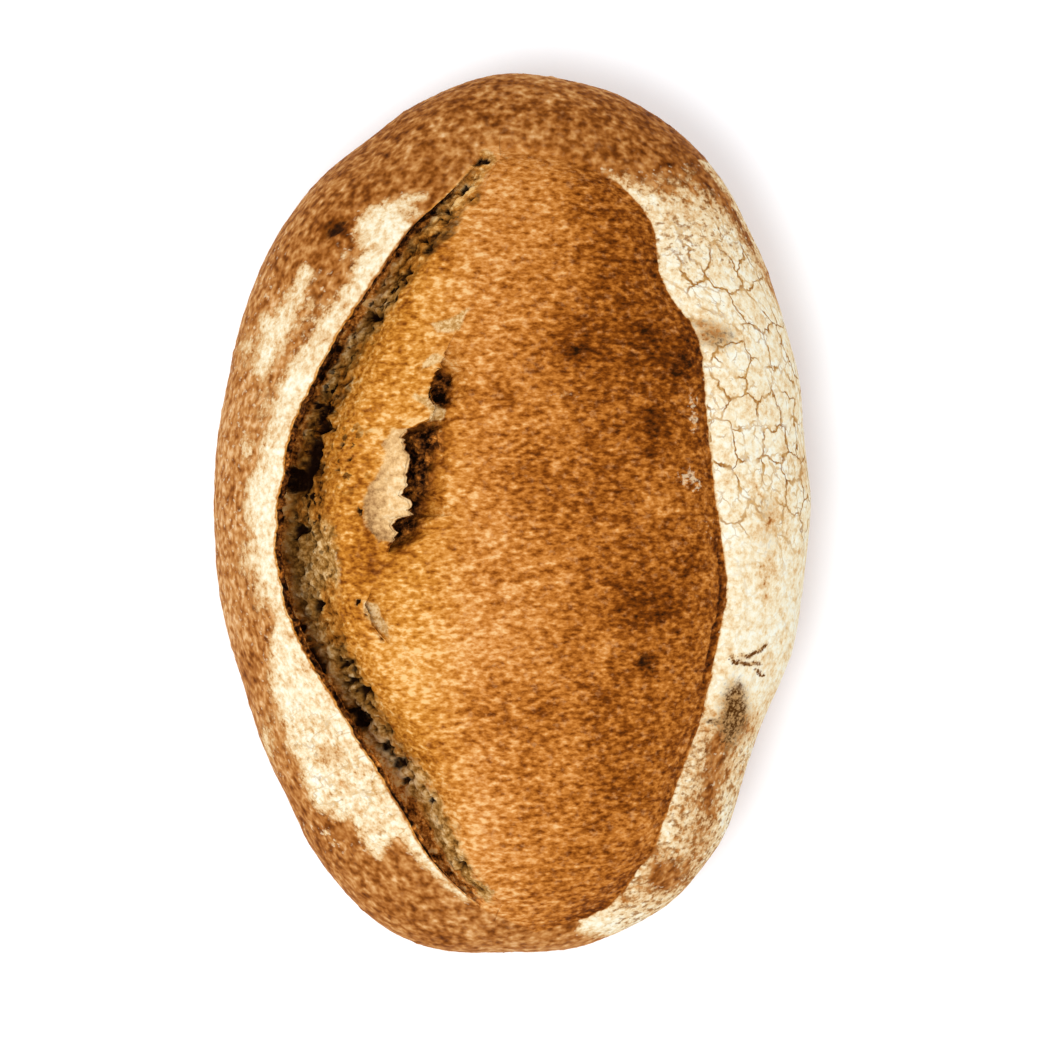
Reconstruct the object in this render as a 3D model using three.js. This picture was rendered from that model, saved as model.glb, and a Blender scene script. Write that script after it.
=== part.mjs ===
// A sourdough loaf: an oval hearth loaf with a flat foot, slashed once along its left flank.
// The slash has opened: its left lip stands up as an ear over a torn crevice, and the crumb that
// burst out of it has baked into a broad belly that runs to the right-hand edge of the cut skin.
//
// Millimetres, +Z up. The origin is on the board under the middle of the loaf, Y runs along the
// loaf, and the ear is on the -X side. The loaf is one solid, swept as closed cross-sections
// that stand across Y and shrink to a point at both tips.
import * as THREE from "three";

// ---- Driving dimensions ------------------------------------------------------------------
const LENGTH = 270; // tip to tip
const HEIGHT = 95; // board to crown
const GIRTH_HEIGHT = 36; // height of the widest outline
const WIDEST_Y = 2; // where along the loaf the outline is widest
const TIP_X = { head: 4, tail: -2 }; // the spine leans a little from tip to tip

// Reach of the outline from the spine, and how square each quarter of it is: a reach fades
// towards its tip as (1 - t^along)^(1 / across).
const LEFT = {
  reach: 92.2,
  head: { along: 2.43, across: 1.79 },
  tail: { along: 1.52, across: 2.51 },
  lumps: [[78, 1.1, 14], [40, -0.9, 14], [-28, 0.9, 16], [-86, -1.5, 13], [-131, 1.4, 8]],
};
const RIGHT = {
  reach: 92,
  head: { along: 1.69, across: 2.33 },
  tail: { along: 1.27, across: 3.36 },
  lumps: [[94, 1, 16], [44, 0.6, 12], [20, -1.1, 12], [-38, 1, 12], [-68, -1.7, 12], [-99, 1.3, 11],
    [-127, -1.9, 8]],
};

// Foot and dome
const FOOT_SHARE = 0.79; // the flat foot's outline as a share of the widest one
const FOOT_END = 3; // how late the foot curls up towards the tips
const DOME_ALONG = 2.4; // squareness of the dome along the loaf,
const DOME_ACROSS = 2.2; // and across it

// The lip of the slash, from head to tail: [y, x] of its top edge seen from above
const LIP = [
  [107, -9], [96, -18.2], [84, -31.3], [69, -41.7], [49, -53.8], [28, -64.2], [10, -68.4],
  [-8, -70.6], [-26, -68], [-44, -60.3], [-65, -47.5], [-87, -33.7], [-103, -22.7], [-119, -6.8],
];
const SLASH = { head: 112, tail: -123 }; // where the slash starts and stops,
const OPENING = { head: 95, tail: 56 }; // and how far in from there it is fully open
const TORN_WIDTH = 20; // from the lip to the belly's shoulder
const EAR_LIFT = 5; // how far the lip stands over the plain dome,
const EAR_REACH = 11; // and how far back from the lip the lift begins

// The crevice under the ear, as [across, up] from the lip: round the lip, back under the ear
// and down to the root. TORN_FLANK then climbs from the root to the belly's shoulder, as
// shares of the way across and up.
const CREVICE = [[0, 0], [1.7, -1.1], [1.2, -3], [-3, -5.2], [-4.2, -9.5], [-2, -13.6], [2.2, -14.8]];
const TORN_FLANK = [[0.2, 0.13], [0.43, 0.4], [0.66, 0.7], [0.86, 0.9]];

// The far edge of the belly, from head to tail: [y, x] where it meets the right-hand skin
const BELLY_EDGE = [
  [110, -9], [107.5, 12], [101, 29], [87, 42], [69, 45.5], [52, 56], [32, 58.5], [12, 60.5],
  [-12, 64], [-24, 65], [-40, 62], [-59, 57], [-83, 48.5], [-104, 38], [-121, 20], [-127, 6],
];
const BELLY_PROUD = 4; // how far the belly swells over the plain dome,
const BELLY_ROUNDING = 8; // reached over about this distance from its edge,
const BELLY_TAIL = 16; // and from its tail end
const CREASE = { depth: 1.2, width: 3 }; // the crease along that edge

// The second tear, a ledge that runs down the belly, from head to tail: [y, x, how open]
const TEAR = [
  [112, 12, 0], [85, 2, 0], [59, -11.7, 0.1], [50, -16, 0.35], [42, -20.6, 0.75], [33, -22.5, 0.6],
  [25, -29, 0.9], [17, -31.2, 1], [10, -30.9, 1], [3, -30.4, 1], [-3, -32.4, 0.9],
  [-10, -35, 0.4], [-18, -40, 0.15], [-27, -43.5, 0.45], [-33, -41.8, 0.5], [-40, -36, 0.1],
  [-60, -24, 0], [-90, -3, 0], [-123, 6, 0],
];
const POCKET_WIDTH = 13; // from the flap's edge to where the belly goes on
const FLAP_LIFT = 1.8; // how far the flap's edge stands over the belly,
const FLAP_REACH = 7; // and how far back from the edge the lift begins
const POCKET = [[0, 0], [0.9, -1.2], [-1.6, -3.4], [-2.2, -5.8], [0.6, -7.8]];
const POCKET_FLOOR = [[0.35, 0.22], [0.7, 0.66]];

// Unevenness: the dough's swells and the crags of the torn crumb
const SWELLS = [{ height: 1.1, wavelength: 46 }, { height: 0.5, wavelength: 20 }];
const CRAGS = { height: 1.9, wavelength: 9 };
const SEED = 7;

// ---- Mesh ---------------------------------------------------------------------------------
const STATIONS = 75; // cross-sections between the two tips,
const CROWDING = 0.6; // which stand closer towards the tips
const COLUMNS = { foot: 4, edge: 7, leftSkin: 8, flap: 4, belly: 14, rightSkin: 9 };
const SHUT_WIDTH = 0.25; // share of its width that a tear's columns keep where it is shut
const SHOWS_FROM = 0.3; // how open a tear is where its whole profile shows
const FLAP_LEAST = 3; // the least room between the belly's shoulder and the second tear
const SLASH_TIPS = 5; // this near its ends, and beyond, the slash's lines keep their share
const EDGE_TURNS = 101; // and beyond this y so does the belly's edge, which turns inwards there

// ---- Small helpers ------------------------------------------------------------------------
const { clamp, lerp, smoothstep } = THREE.MathUtils;
const bell = (distance, width) => Math.exp(-((distance / width) ** 2));
const dome = (t, square, round = 2) => (1 - clamp(Math.abs(t), 0, 1) ** square) ** (1 / round);

/** A number from -1 to 1 for each corner of a unit lattice. */
function cornerValue(i, j, k) {
  let hash = Math.imul(i, 374761393) + Math.imul(j, 668265263) + Math.imul(k, 1440662683) + SEED;
  hash = Math.imul(hash ^ (hash >>> 13), 1274126177);
  return ((hash ^ (hash >>> 16)) >>> 0) / 2147483647.5 - 1;
}

/** Smooth noise at a point, of a given height, by blending the lattice corners around it. */
function unevenness({ height, wavelength }, { x, y, z }) {
  const place = [x / wavelength, y / wavelength, z / wavelength];
  const cell = place.map(Math.floor);
  const ease = place.map((p, axis) => smoothstep(p - cell[axis], 0, 1));
  let sum = 0;
  for (let corner = 0; corner < 8; corner++) {
    const step = [corner & 1, (corner >> 1) & 1, corner >> 2];
    const weight = step.reduce((w, s, axis) => w * (s ? ease[axis] : 1 - ease[axis]), 1);
    sum += weight * cornerValue(cell[0] + step[0], cell[1] + step[1], cell[2] + step[2]);
  }
  return height * sum;
}

/** A smooth curve through [y, x, extra] rows, as points that hold y, x and the extra in turn. */
function smoothLine(rows, steps = 10) {
  const points = rows.map(([y, x, extra = 0]) => new THREE.Vector3(y, x, extra));
  const curve = new THREE.CatmullRomCurve3(points, false, "catmullrom", 0.5);
  return curve.getPoints(steps * (rows.length - 1));
}

/** The x and the extra of a line where it passes y, held at its ends beyond them. */
function lineAt(line, y) {
  const after = line.findIndex((p) => p.x <= y);
  if (after === 0) return { x: line[0].y, extra: line[0].z };
  if (after < 0) return { x: line.at(-1).y, extra: line.at(-1).z };
  const share = (line[after - 1].x - y) / (line[after - 1].x - line[after].x);
  const passed = line[after - 1].clone().lerp(line[after], share);
  return { x: passed.y, extra: passed.z };
}

/** How far (x, y) lies from a line seen from above. */
function distanceTo(line, x, y) {
  let nearest = Infinity;
  for (let i = 1; i < line.length; i++) {
    const [p, q] = [line[i - 1], line[i]];
    const [dy, dx] = [q.x - p.x, q.y - p.y];
    const share = clamp(((y - p.x) * dy + (x - p.y) * dx) / (dy * dy + dx * dx), 0, 1);
    nearest = Math.min(nearest, Math.hypot(y - p.x - share * dy, x - p.y - share * dx));
  }
  return nearest;
}

// ---- The plain loaf -----------------------------------------------------------------------
const half = LENGTH / 2;
const spineX = (y) => lerp(TIP_X.tail, TIP_X.head, (y + half) / LENGTH);
/** How far y is from the widest place towards a tip, from 0 to 1. */
const towardsTip = (y) => Math.abs(y - WIDEST_Y) / (y > WIDEST_Y ? half - WIDEST_Y : half + WIDEST_Y);

/** Half the loaf's width on one side of the spine at station y. */
function reachOf(side, y) {
  const quarter = y > WIDEST_Y ? side.head : side.tail;
  const taper = dome(towardsTip(y), quarter.along, quarter.across);
  const lumps = side.lumps.reduce((sum, [at, size, width]) => sum + size * bell(y - at, width), 0);
  return side.reach * taper + lumps * smoothstep(taper, 0, 0.3);
}

/** Height of the underside at station y, at u: 0 is the spine and -1 and 1 are the outline. */
function undersideZ(u, y) {
  const end = towardsTip(y) ** FOOT_END;
  const gauge = Math.sqrt(u * u + end - end * u * u);
  return GIRTH_HEIGHT * (1 - dome(Math.max(gauge - FOOT_SHARE, 0) / (1 - FOOT_SHARE), 2));
}

/** Height of the unslashed skin at u at station y. */
function domeZ(u, y) {
  const rise = HEIGHT - BELLY_PROUD - GIRTH_HEIGHT;
  return GIRTH_HEIGHT + rise * dome(towardsTip(y), DOME_ALONG) * dome(u, DOME_ACROSS);
}

// ---- The slash and what burst out of it -----------------------------------------------------
const lipLine = smoothLine(LIP);
const tearLine = smoothLine(TEAR);
const edgeLine = smoothLine(BELLY_EDGE);

/** How open the slash is at station y, from 0 at its ends to 1. */
function openness(y) {
  const depth = Math.min((SLASH.head - y) / OPENING.head, (y - SLASH.tail) / OPENING.tail);
  return Math.sin((Math.PI / 2) * clamp(depth, 0, 1));
}

/** The belly's rise over the plain dome at (x, y), with the crease along its far edge. */
function bellySwell(x, y) {
  const distance = distanceTo(edgeLine, x, y);
  const inside = x < lineAt(edgeLine, y).x && y < BELLY_EDGE[0][0];
  const swell = inside ? BELLY_PROUD * (1 - Math.exp(-distance / BELLY_ROUNDING)) : 0;
  const tail = BELLY_EDGE.at(-1)[0];
  return swell * smoothstep(y, tail, tail + BELLY_TAIL) - CREASE.depth * bell(distance, CREASE.width);
}

/** Points of a tear from its lifted edge `from`, back under it and up the far side to `to`. */
function tornProfile(under, climb, from, to, open) {
  const below = under.map(([across, up]) => ({ x: from.x + across * open, z: from.z + up * open }));
  const root = below.at(-1);
  const above = climb.map(([a, b]) => ({ x: lerp(root.x, to.x, a), z: lerp(root.z, to.z, b) }));
  return [...below, ...above];
}

// ---- One cross-section ----------------------------------------------------------------------
/** The underside's columns on one side (-1 or 1), from beside the spine to beside the girth. */
function undersideColumns(sign) {
  const columns = [];
  for (let k = 1; k <= COLUMNS.foot; k++) columns.push((FOOT_SHARE * k) / COLUMNS.foot);
  for (let k = 1; k < COLUMNS.edge; k++) {
    columns.push(lerp(FOOT_SHARE, 1, Math.sin((Math.PI / 2) * (k / COLUMNS.edge))));
  }
  return columns.map((u) => sign * u);
}

/** `count` columns from u = from to just before u = to, closer together towards the outline. */
function skinColumns(from, to, count) {
  const [start, stop] = [Math.acos(-from), Math.acos(-to)];
  return Array.from({ length: count }, (_, k) => -Math.cos(lerp(start, stop, k / count)));
}

/** A closed cross-section at station y, from the middle of the foot round by the ear. */
function crossSection(y) {
  const reach = { left: reachOf(LEFT, y), right: reachOf(RIGHT, y) };
  const xOf = (u) => spineX(y) + u * (u < 0 ? reach.left : reach.right);

  // Where the slash's lines cross this section. Beyond the slash they keep their share.
  const at = clamp(y, SLASH.tail + SLASH_TIPS, SLASH.head - SLASH_TIPS);
  const shareOf = (x) => (x - spineX(at)) / reachOf(x < spineX(at) ? LEFT : RIGHT, at);
  const open = openness(y);
  const tear = lineAt(tearLine, at);
  const lipX = lineAt(lipLine, at).x;
  const shoulderX = Math.min(lipX + TORN_WIDTH * lerp(SHUT_WIDTH, 1, open), tear.x - FLAP_LEAST);
  const pocketX = tear.x + POCKET_WIDTH * lerp(SHUT_WIDTH, 1, tear.extra);
  const edgeX = lineAt(edgeLine, Math.min(at, EDGE_TURNS)).x;
  const [lipU, shoulderU, tearU, pocketU, edgeU] = [lipX, shoulderX, tear.x, pocketX, edgeX].map(shareOf);

  const underside = (u) => ({ x: xOf(u), z: undersideZ(u, y) });
  const leftSkin = (u) => {
    const lift = EAR_LIFT * open * bell(xOf(u) - xOf(lipU), EAR_REACH);
    return { x: xOf(u), z: domeZ(u, y) + lift };
  };
  const belly = (u) => ({ x: xOf(u), z: domeZ(u, y) + bellySwell(xOf(u), y) });
  const flap = (u) => {
    const lift = FLAP_LIFT * tear.extra * bell(xOf(u) - xOf(tearU), FLAP_REACH);
    return { x: xOf(u), z: belly(u).z + lift };
  };

  // A tear's profile, which closes to the plain skin where the tear is shut
  const torn = (under, climb, from, to, skin, opened) => {
    const profile = tornProfile(under, climb, skin(from), belly(to), opened);
    const plain = skinColumns(from, to, profile.length).map(skin);
    const showing = smoothstep(opened, 0, SHOWS_FROM);
    return profile.map(({ x, z }, k) => {
      const crag = k > 1 ? opened * unevenness(CRAGS, { x, y, z }) : 0;
      return {
        x: lerp(plain[k].x, x + crag / 2, showing),
        z: lerp(plain[k].z, z + crag, showing),
      };
    });
  };

  return [
    underside(0),
    ...undersideColumns(-1).map(underside),
    ...skinColumns(-1, lipU, COLUMNS.leftSkin).map(leftSkin),
    ...torn(CREVICE, TORN_FLANK, lipU, shoulderU, leftSkin, open),
    ...skinColumns(shoulderU, tearU, COLUMNS.flap).map(flap),
    ...torn(POCKET, POCKET_FLOOR, tearU, pocketU, flap, tear.extra),
    ...skinColumns(pocketU, edgeU, COLUMNS.belly).map(belly),
    ...skinColumns(edgeU, 1, COLUMNS.rightSkin).map(belly),
    belly(1),
    ...undersideColumns(1).reverse().map(underside),
  ].map(({ x, z }) => new THREE.Vector3(x, y, z));
}

// ---- The whole loaf -------------------------------------------------------------------------
/** Lets the dough swell and sink a little, but leaves the foot flat on the board. */
function knead(point) {
  const above = smoothstep(point.z, 0, GIRTH_HEIGHT * 0.8);
  const swell = SWELLS.reduce((sum, size) => sum + unevenness(size, point), 0);
  const outwards = new THREE.Vector3(point.x, point.y / 2, Math.max(point.z - GIRTH_HEIGHT, 0));
  return point.addScaledVector(outwards.normalize(), swell * above);
}

/** Joins the cross-sections and the two tips into one closed surface. */
function loafGeometry() {
  const rings = [];
  for (let j = 1; j <= STATIONS; j++) {
    const t = (2 * j) / (STATIONS + 1) - 1;
    const y = half * lerp(t, Math.sin((Math.PI / 2) * t), CROWDING);
    rings.push(crossSection(y).map(knead));
  }
  const tips = [-1, 1].map((end) => new THREE.Vector3(spineX(end * half), end * half, GIRTH_HEIGHT));
  const around = rings[0].length;
  const vertices = [...rings.flat(), ...tips];
  const [tail, head] = [rings.length * around, rings.length * around + 1];

  const triangles = [];
  for (let k = 0; k < around; k++) {
    const next = (k + 1) % around;
    triangles.push(tail, next, k);
    for (let j = 0; j + 1 < rings.length; j++) {
      const [here, there] = [j * around, (j + 1) * around];
      triangles.push(here + k, there + next, there + k, here + k, here + next, there + next);
    }
    const last = (rings.length - 1) * around;
    triangles.push(head, last + k, last + next);
  }
  const geometry = new THREE.BufferGeometry().setFromPoints(vertices);
  geometry.setIndex(triangles);
  geometry.computeVertexNormals();
  return geometry;
}

const crust = new THREE.MeshStandardMaterial({ color: 0xb87331, roughness: 0.85, metalness: 0 });
const loaf = new THREE.Mesh(loafGeometry(), crust);
loaf.name = "loaf";

const group = new THREE.Group();
group.add(loaf);
export default group;
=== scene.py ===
import functools
import itertools

import bpy
import numpy as np
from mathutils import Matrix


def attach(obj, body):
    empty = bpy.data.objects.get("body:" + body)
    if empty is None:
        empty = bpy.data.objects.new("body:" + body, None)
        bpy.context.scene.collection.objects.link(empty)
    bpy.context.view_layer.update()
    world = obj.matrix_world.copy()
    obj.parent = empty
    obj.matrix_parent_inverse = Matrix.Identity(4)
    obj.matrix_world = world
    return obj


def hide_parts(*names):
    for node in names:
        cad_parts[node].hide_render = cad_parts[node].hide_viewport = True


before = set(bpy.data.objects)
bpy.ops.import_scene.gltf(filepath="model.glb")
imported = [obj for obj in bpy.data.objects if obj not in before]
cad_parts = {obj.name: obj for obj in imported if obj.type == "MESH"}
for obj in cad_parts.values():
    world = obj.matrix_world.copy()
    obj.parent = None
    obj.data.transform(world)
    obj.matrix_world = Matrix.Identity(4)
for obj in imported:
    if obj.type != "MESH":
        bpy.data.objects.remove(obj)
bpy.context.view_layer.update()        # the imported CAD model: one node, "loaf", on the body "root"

# A sourdough loaf, dressed over its CAD solid. The loaf is swept again from the same named
# sizes as the solid, far more finely, and given the relief of a real crust: a ragged ear over
# a torn crevice, a stretched belly, a second tear, blisters and cracked flour. Point
# attributes say what each place is, and one node material colours it from them.
#
# Lengths in the loaf's own sections are millimetres, and its mesh is written in metres.
MM = 0.001

# ---- The loaf's form, as in the CAD ----------------------------------
# The lip, the belly's edge and the second tear's line are drawn more closely here, by a few mm.
LENGTH = 270  # tip to tip
HEIGHT = 95  # board to crown
GIRTH_HEIGHT = 36  # height of the widest outline
WIDEST_Y = 2  # where along the loaf the outline is widest
TIP_X = {"head": 4, "tail": -2}  # the spine leans a little from tip to tip

# Each side's reach from the spine, how square it is towards the head and the tail, and its
# lumps: [y, size, width]
LEFT = {
    "reach": 92.2,
    "head": (2.43, 1.79),
    "tail": (1.52, 2.51),
    "lumps": [[78, 1.1, 14], [40, -0.9, 14], [-28, 0.9, 16], [-86, -1.5, 13], [-131, 1.4, 8]],
}
RIGHT = {
    "reach": 92,
    "head": (1.69, 2.33),
    "tail": (1.27, 3.36),
    "lumps": [
        [94, 1, 16], [44, 0.6, 12], [20, -1.1, 12], [-38, 1, 12], [-68, -1.7, 12], [-99, 1.3, 11],
        [-127, -1.9, 8],
    ],
}
LUMPS_FADE = 0.3  # share of the reach below which the lumps fade, towards the tips
FOOT_SHARE = 0.79  # how far out the underside is flat, as a share of the reach
FOOT_END = 3  # how late the flat foot narrows towards the tips
DOME_ALONG = 2.4  # how full the dome is from tip to tip
DOME_ACROSS = 2.2  # and from side to side

# The slash's lip, from head to tail: [y, x]
LIP = [
    [107, -9], [96, -18.2], [84, -29.4], [69, -39.9], [49, -53.8], [28, -64.2], [10, -68.4],
    [-8, -70.6], [-26, -68], [-44, -60.3], [-65, -46.9], [-87, -33], [-103, -24.1], [-119, -8.6],
]
SLASH = {"head": 112, "tail": -123}  # where it ends
OPENING = {"head": 95, "tail": 56}  # how far from its ends it has opened fully
TORN_WIDTH = 20  # of the crevice, as seen from above
EAR_LIFT, EAR_REACH = 5, 11  # how much the lip stands up, and over what width
# The crevice's profile: [across, up] in mm from the lip, and then as shares of what is left to
# climb to the belly
CREVICE = [[0, 0], [1.7, -1.1], [1.2, -3], [-3, -5.2], [-4.2, -9.5], [-2, -13.6], [2.2, -14.8]]
TORN_FLANK = [[0.2, 0.13], [0.43, 0.4], [0.66, 0.7], [0.86, 0.9]]

# The belly's far edge, from head to tail: [y, x]
BELLY_EDGE = [
    [110, -9], [107.5, 12], [101, 29], [87, 42], [69, 45.5], [52, 56], [32, 58.5], [12, 60.5],
    [-12, 64], [-24, 65], [-40, 62], [-59, 58], [-80, 50.7], [-92, 46.4], [-101, 43.2],
    [-106, 39.9], [-113.5, 34.6], [-121, 26.6], [-127, 8],
]
BELLY_PROUD = 4  # how far the belly stands out of the dome,
BELLY_ROUNDING = 8  # within about how many mm of its edge it rises,
BELLY_TAIL = 16  # and over how many mm it sets in at the tail
CREASE_DEPTH, CREASE_WIDTH = 1.2, 3  # along its far edge

# The second tear, from head to tail: [y, x, how open]
TEAR = [
    [112, 12, 0], [85, 2, 0], [59, -13, 0.05], [50, -18, 0.2], [44, -20.5, 0.5], [42, -21, 0.75],
    [38, -23, 0.8], [35, -23, 0.8], [33, -22.5, 0.5], [30.5, -22, 0.3], [28, -23.5, 0.4],
    [25.5, -28.5, 0.8], [25, -30.6, 0.9], [22.7, -32.6, 0.9], [20, -32, 1], [18, -31.5, 1],
    [15.6, -30.2, 1], [12.1, -31.4, 1], [7.9, -31, 1], [6.4, -32, 1], [5.2, -34, 0.9],
    [4.4, -31.5, 1], [3.5, -30.2, 1], [-0.6, -29.8, 1], [-1.4, -34, 0.9], [-3.9, -35.8, 0.9],
    [-5.7, -34, 0.8], [-8.7, -35.5, 0.5], [-13, -37, 0.05], [-18, -40, 0.02], [-27, -43.5, 0.3],
    [-33, -41.8, 0.35], [-40, -36, 0.1], [-60, -24, 0], [-90, -3, 0], [-123, 6, 0],
]
POCKET_WIDTH = 13  # where the second tear is fully open
FLAP_LIFT, FLAP_REACH = 1.8, 7  # how much its near edge stands up, and over what width
# The pocket's profile, as the crevice's
POCKET = [[0, 0], [0.9, -1.2], [-1.6, -3.4], [-2.2, -5.8], [0.6, -7.8]]
POCKET_FLOOR = [[0.35, 0.22], [0.7, 0.66]]

SWELLS = [(1.1, 46), (0.5, 20)]  # (height, wavelength) of the dough's unevenness
SWELL_FROM = 0.8  # it is full from this share of the girth's height up
CRAGS = (1.9, 9)  # (height, wavelength) of the torn crumb's
SEED = 7
# Where the outline is pressed in a little: [x, y, radius, depth]
DENTS = [
    [14, 134, 30, 1.5], [-45, 114, 14, 1.6], [72, 89, 12, 1.2], [72, -82, 12, 1.3],
    [33, -131, 12, 1.6], [-81, 63, 17, 1.1],
]
SHUT_WIDTH = 0.25  # share of a tear's width that its columns keep where it is shut
SHOWS_FROM = 0.3  # how open a tear is before its whole profile shows
FLAP_LEAST = 3  # least width of the crust between the crevice and the second tear
SLASH_TIPS = 5  # how far short of the slash's ends its lines stop moving
EDGE_TURNS = 101  # where the belly's far edge turns across the loaf, at the head

# ---- The camera, straight above --------------------------------------
CAMERA_HEIGHT = 1500
CAMERA_OVER = (3.07, -2.15)  # the point that the middle of the picture looks down on
VIEW_WIDTH = 319.1  # what the picture spans, GIRTH_HEIGHT above the board
SENSOR = 36

# ---- The fine mesh ---------------------------------------------------
PITCH = 0.75  # between cross-sections, measured round the outline
COLUMNS = {"foot": 26, "edge": 36, "left_skin": 64, "flap": 30, "belly": 116, "right_skin": 76}
LINE_STEPS = 10  # between two points of the lip's line and of the belly's edge
TORN_STEPS = 7  # columns between two points of the crevice's profile
POCKET_STEPS = 6  # and of the pocket's
OUTLINE_SAMPLES = 3000  # for each half of the outline, to measure round it
MAP_MARGIN = 0.004  # of the texture map, for the tips


# ---- Helpers ---------------------------------------------------------
def lerp(a, b, t):
    return a + (b - a) * t


def smoothstep(x, low, high):
    t = np.clip((x - low) / (high - low), 0, 1)
    return t * t * (3 - 2 * t)


def bell(distance, width):
    return np.exp(-((distance / width) ** 2))


def dome(t, square, roundness=2):
    """1 in the middle and 0 at the rim, where t is 1 or -1."""
    return (1 - np.clip(np.abs(t), 0, 1) ** square) ** (1 / roundness)


def running(steps):
    """The running total of some steps, from 0 on."""
    return np.concatenate([[0], np.cumsum(steps)])


def add_to_scene(name, data):
    thing = bpy.data.objects.new(name, data)
    bpy.context.collection.objects.link(thing)
    return thing


def through(points, steps):
    """Points along a smooth curve through the given ones, which lie along the first axis."""
    p = np.asarray(points, float)
    p = np.concatenate([2 * p[:1] - p[1:2], p, 2 * p[-1:] - p[-2:-1]])
    start, stop = p[1:-2], p[2:-1]
    leave, arrive = (p[2:-1] - p[:-3]) / 2, (p[3:] - p[1:-2]) / 2
    curve = [
        start + leave * t + (3 * (stop - start) - 2 * leave - arrive) * t**2
        + (2 * (start - stop) + leave + arrive) * t**3
        for t in np.arange(steps) / steps
    ]
    curve = np.stack(curve, axis=1).reshape(-1, *p.shape[1:])
    return np.concatenate([curve, p[-2:-1]])


def line_at(line, y, column=1):
    """The x, or another column, of a line where it passes y."""
    return np.interp(y, line[::-1, 0], line[::-1, column])


def distance_to(line, x, y):
    """How far the points (x, y) lie from a line of [y, x] rows, seen from above."""
    nearest = np.full(x.shape, np.inf)
    for (py, px), (qy, qx) in zip(line[:-1, :2], line[1:, :2]):
        length2 = (qx - px) ** 2 + (qy - py) ** 2
        share = np.clip(((x - px) * (qx - px) + (y - py) * (qy - py)) / length2, 0, 1)
        away = (x - lerp(px, qx, share)) ** 2 + (y - lerp(py, qy, share)) ** 2
        nearest = np.minimum(nearest, away)
    return np.sqrt(nearest)


def is_inside(outline, x, y):
    """Whether the points (x, y) lie inside a closed outline of [y, x] rows."""
    inside = np.zeros(x.shape, bool)
    for (py, px), (qy, qx) in zip(outline, np.roll(outline, -1, axis=0)):
        if py != qy:
            crosses = (py > y) != (qy > y)
            inside ^= crosses & (x < px + (qx - px) * (y - py) / (qy - py))
    return inside


# ---- Noise -----------------------------------------------------------
def corner_hash(i, j, k, seed):
    """A 32-bit number for each corner of a unit lattice."""
    i, j, k = (n.astype(np.uint32) for n in (i, j, k))
    h = i * np.uint32(374761393) + j * np.uint32(668265263) + k * np.uint32(1440662683)
    h = h + np.uint32(seed)
    h = (h ^ (h >> np.uint32(13))) * np.uint32(1274126177)
    return h ^ (h >> np.uint32(16))


def three_numbers(h):
    """Three numbers from 0 to 1 for each hash."""
    return [((h >> np.uint32(shift)) & np.uint32(1023)) / 1023 for shift in (0, 10, 20)]


def lattice(x, y, z):
    """The lattice cell of each point and its place in that cell."""
    cells = [np.floor(n).astype(np.int64) for n in (x, y, z)]
    return cells, [n - c for n, c in zip((x, y, z), cells)]


def blended(ease, value_at):
    """The values at the 8 corners of a lattice cell, weighted by how near each corner is."""
    total = 0
    for c, b, a in itertools.product((0, 1), repeat=3):
        weight = 1
        for step, e in zip((a, b, c), ease):
            weight = weight * (e if step else 1 - e)
        total = total + weight * value_at(a, b, c)
    return total


def unevenness(size, x, y, z):
    """The CAD's smooth noise: (height, wavelength) in, a swelling in mm out."""
    height, wavelength = size
    (i, j, k), place = lattice(x / wavelength, y / wavelength, z / wavelength)

    def value_at(a, b, c):
        return corner_hash(i + a, j + b, k + c, SEED) / 2147483647.5 - 1

    return height * blended([smoothstep(p, 0, 1) for p in place], value_at)


def grain(x, y, z, size, seed, octaves=1):
    """Gradient noise, about -1 to 1, of a given size: one number, or one for each axis."""
    size = np.broadcast_to(np.asarray(size, float), 3)
    total, strength, whole = 0, 1, 0
    for octave in range(octaves):
        (i, j, k), place = lattice(x / size[0], y / size[1], z / size[2])

        def value_at(*corner):
            a, b, c = corner
            slopes = three_numbers(corner_hash(i + a, j + b, k + c, seed + 101 * octave))
            return sum((2 * slope - 1) * (t - n) for slope, t, n in zip(slopes, place, corner))

        ease = [t * t * t * (t * (t * 6 - 15) + 10) for t in place]
        total = total + strength * blended(ease, value_at)
        whole += strength
        size, strength = size / 2, strength / 2
    return 1.7 * total / whole


def scattered(x, y, z, size, seed):
    """Of seeds scattered about `size` mm apart: how far the nearest one is from each point, and
    a number from 0 to 1 that is that seed's own."""
    (i, j, k), place = lattice(x / size, y / size, z / size)
    nearest, own = np.full(x.shape, np.inf), np.zeros(x.shape)
    for a, b, c in itertools.product((-1, 0, 1), repeat=3):
        h = corner_hash(i + a, j + b, k + c, seed)
        gaps = [n + at - t for n, at, t in zip((a, b, c), three_numbers(h), place)]
        away = np.sqrt(sum(gap**2 for gap in gaps))
        own = np.where(away < nearest, (h & np.uint32(4095)) / 4095, own)
        nearest = np.minimum(nearest, away)
    return nearest * size, own


# ---- The plain loaf --------------------------------------------------
HALF = LENGTH / 2


def spine_x(y):
    return lerp(TIP_X["tail"], TIP_X["head"], (y + HALF) / LENGTH)


def towards_tip(y):
    return np.abs(y - WIDEST_Y) / np.where(y > WIDEST_Y, HALF - WIDEST_Y, HALF + WIDEST_Y)


def reach_of(side, y):
    """Half the loaf's width on one side of the spine at station y."""
    t = towards_tip(y)
    taper = np.where(y > WIDEST_Y, dome(t, *side["head"]), dome(t, *side["tail"]))
    lumps = sum(size * bell(y - at, width) for at, size, width in side["lumps"])
    return side["reach"] * taper + lumps * smoothstep(taper, 0, LUMPS_FADE)


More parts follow.
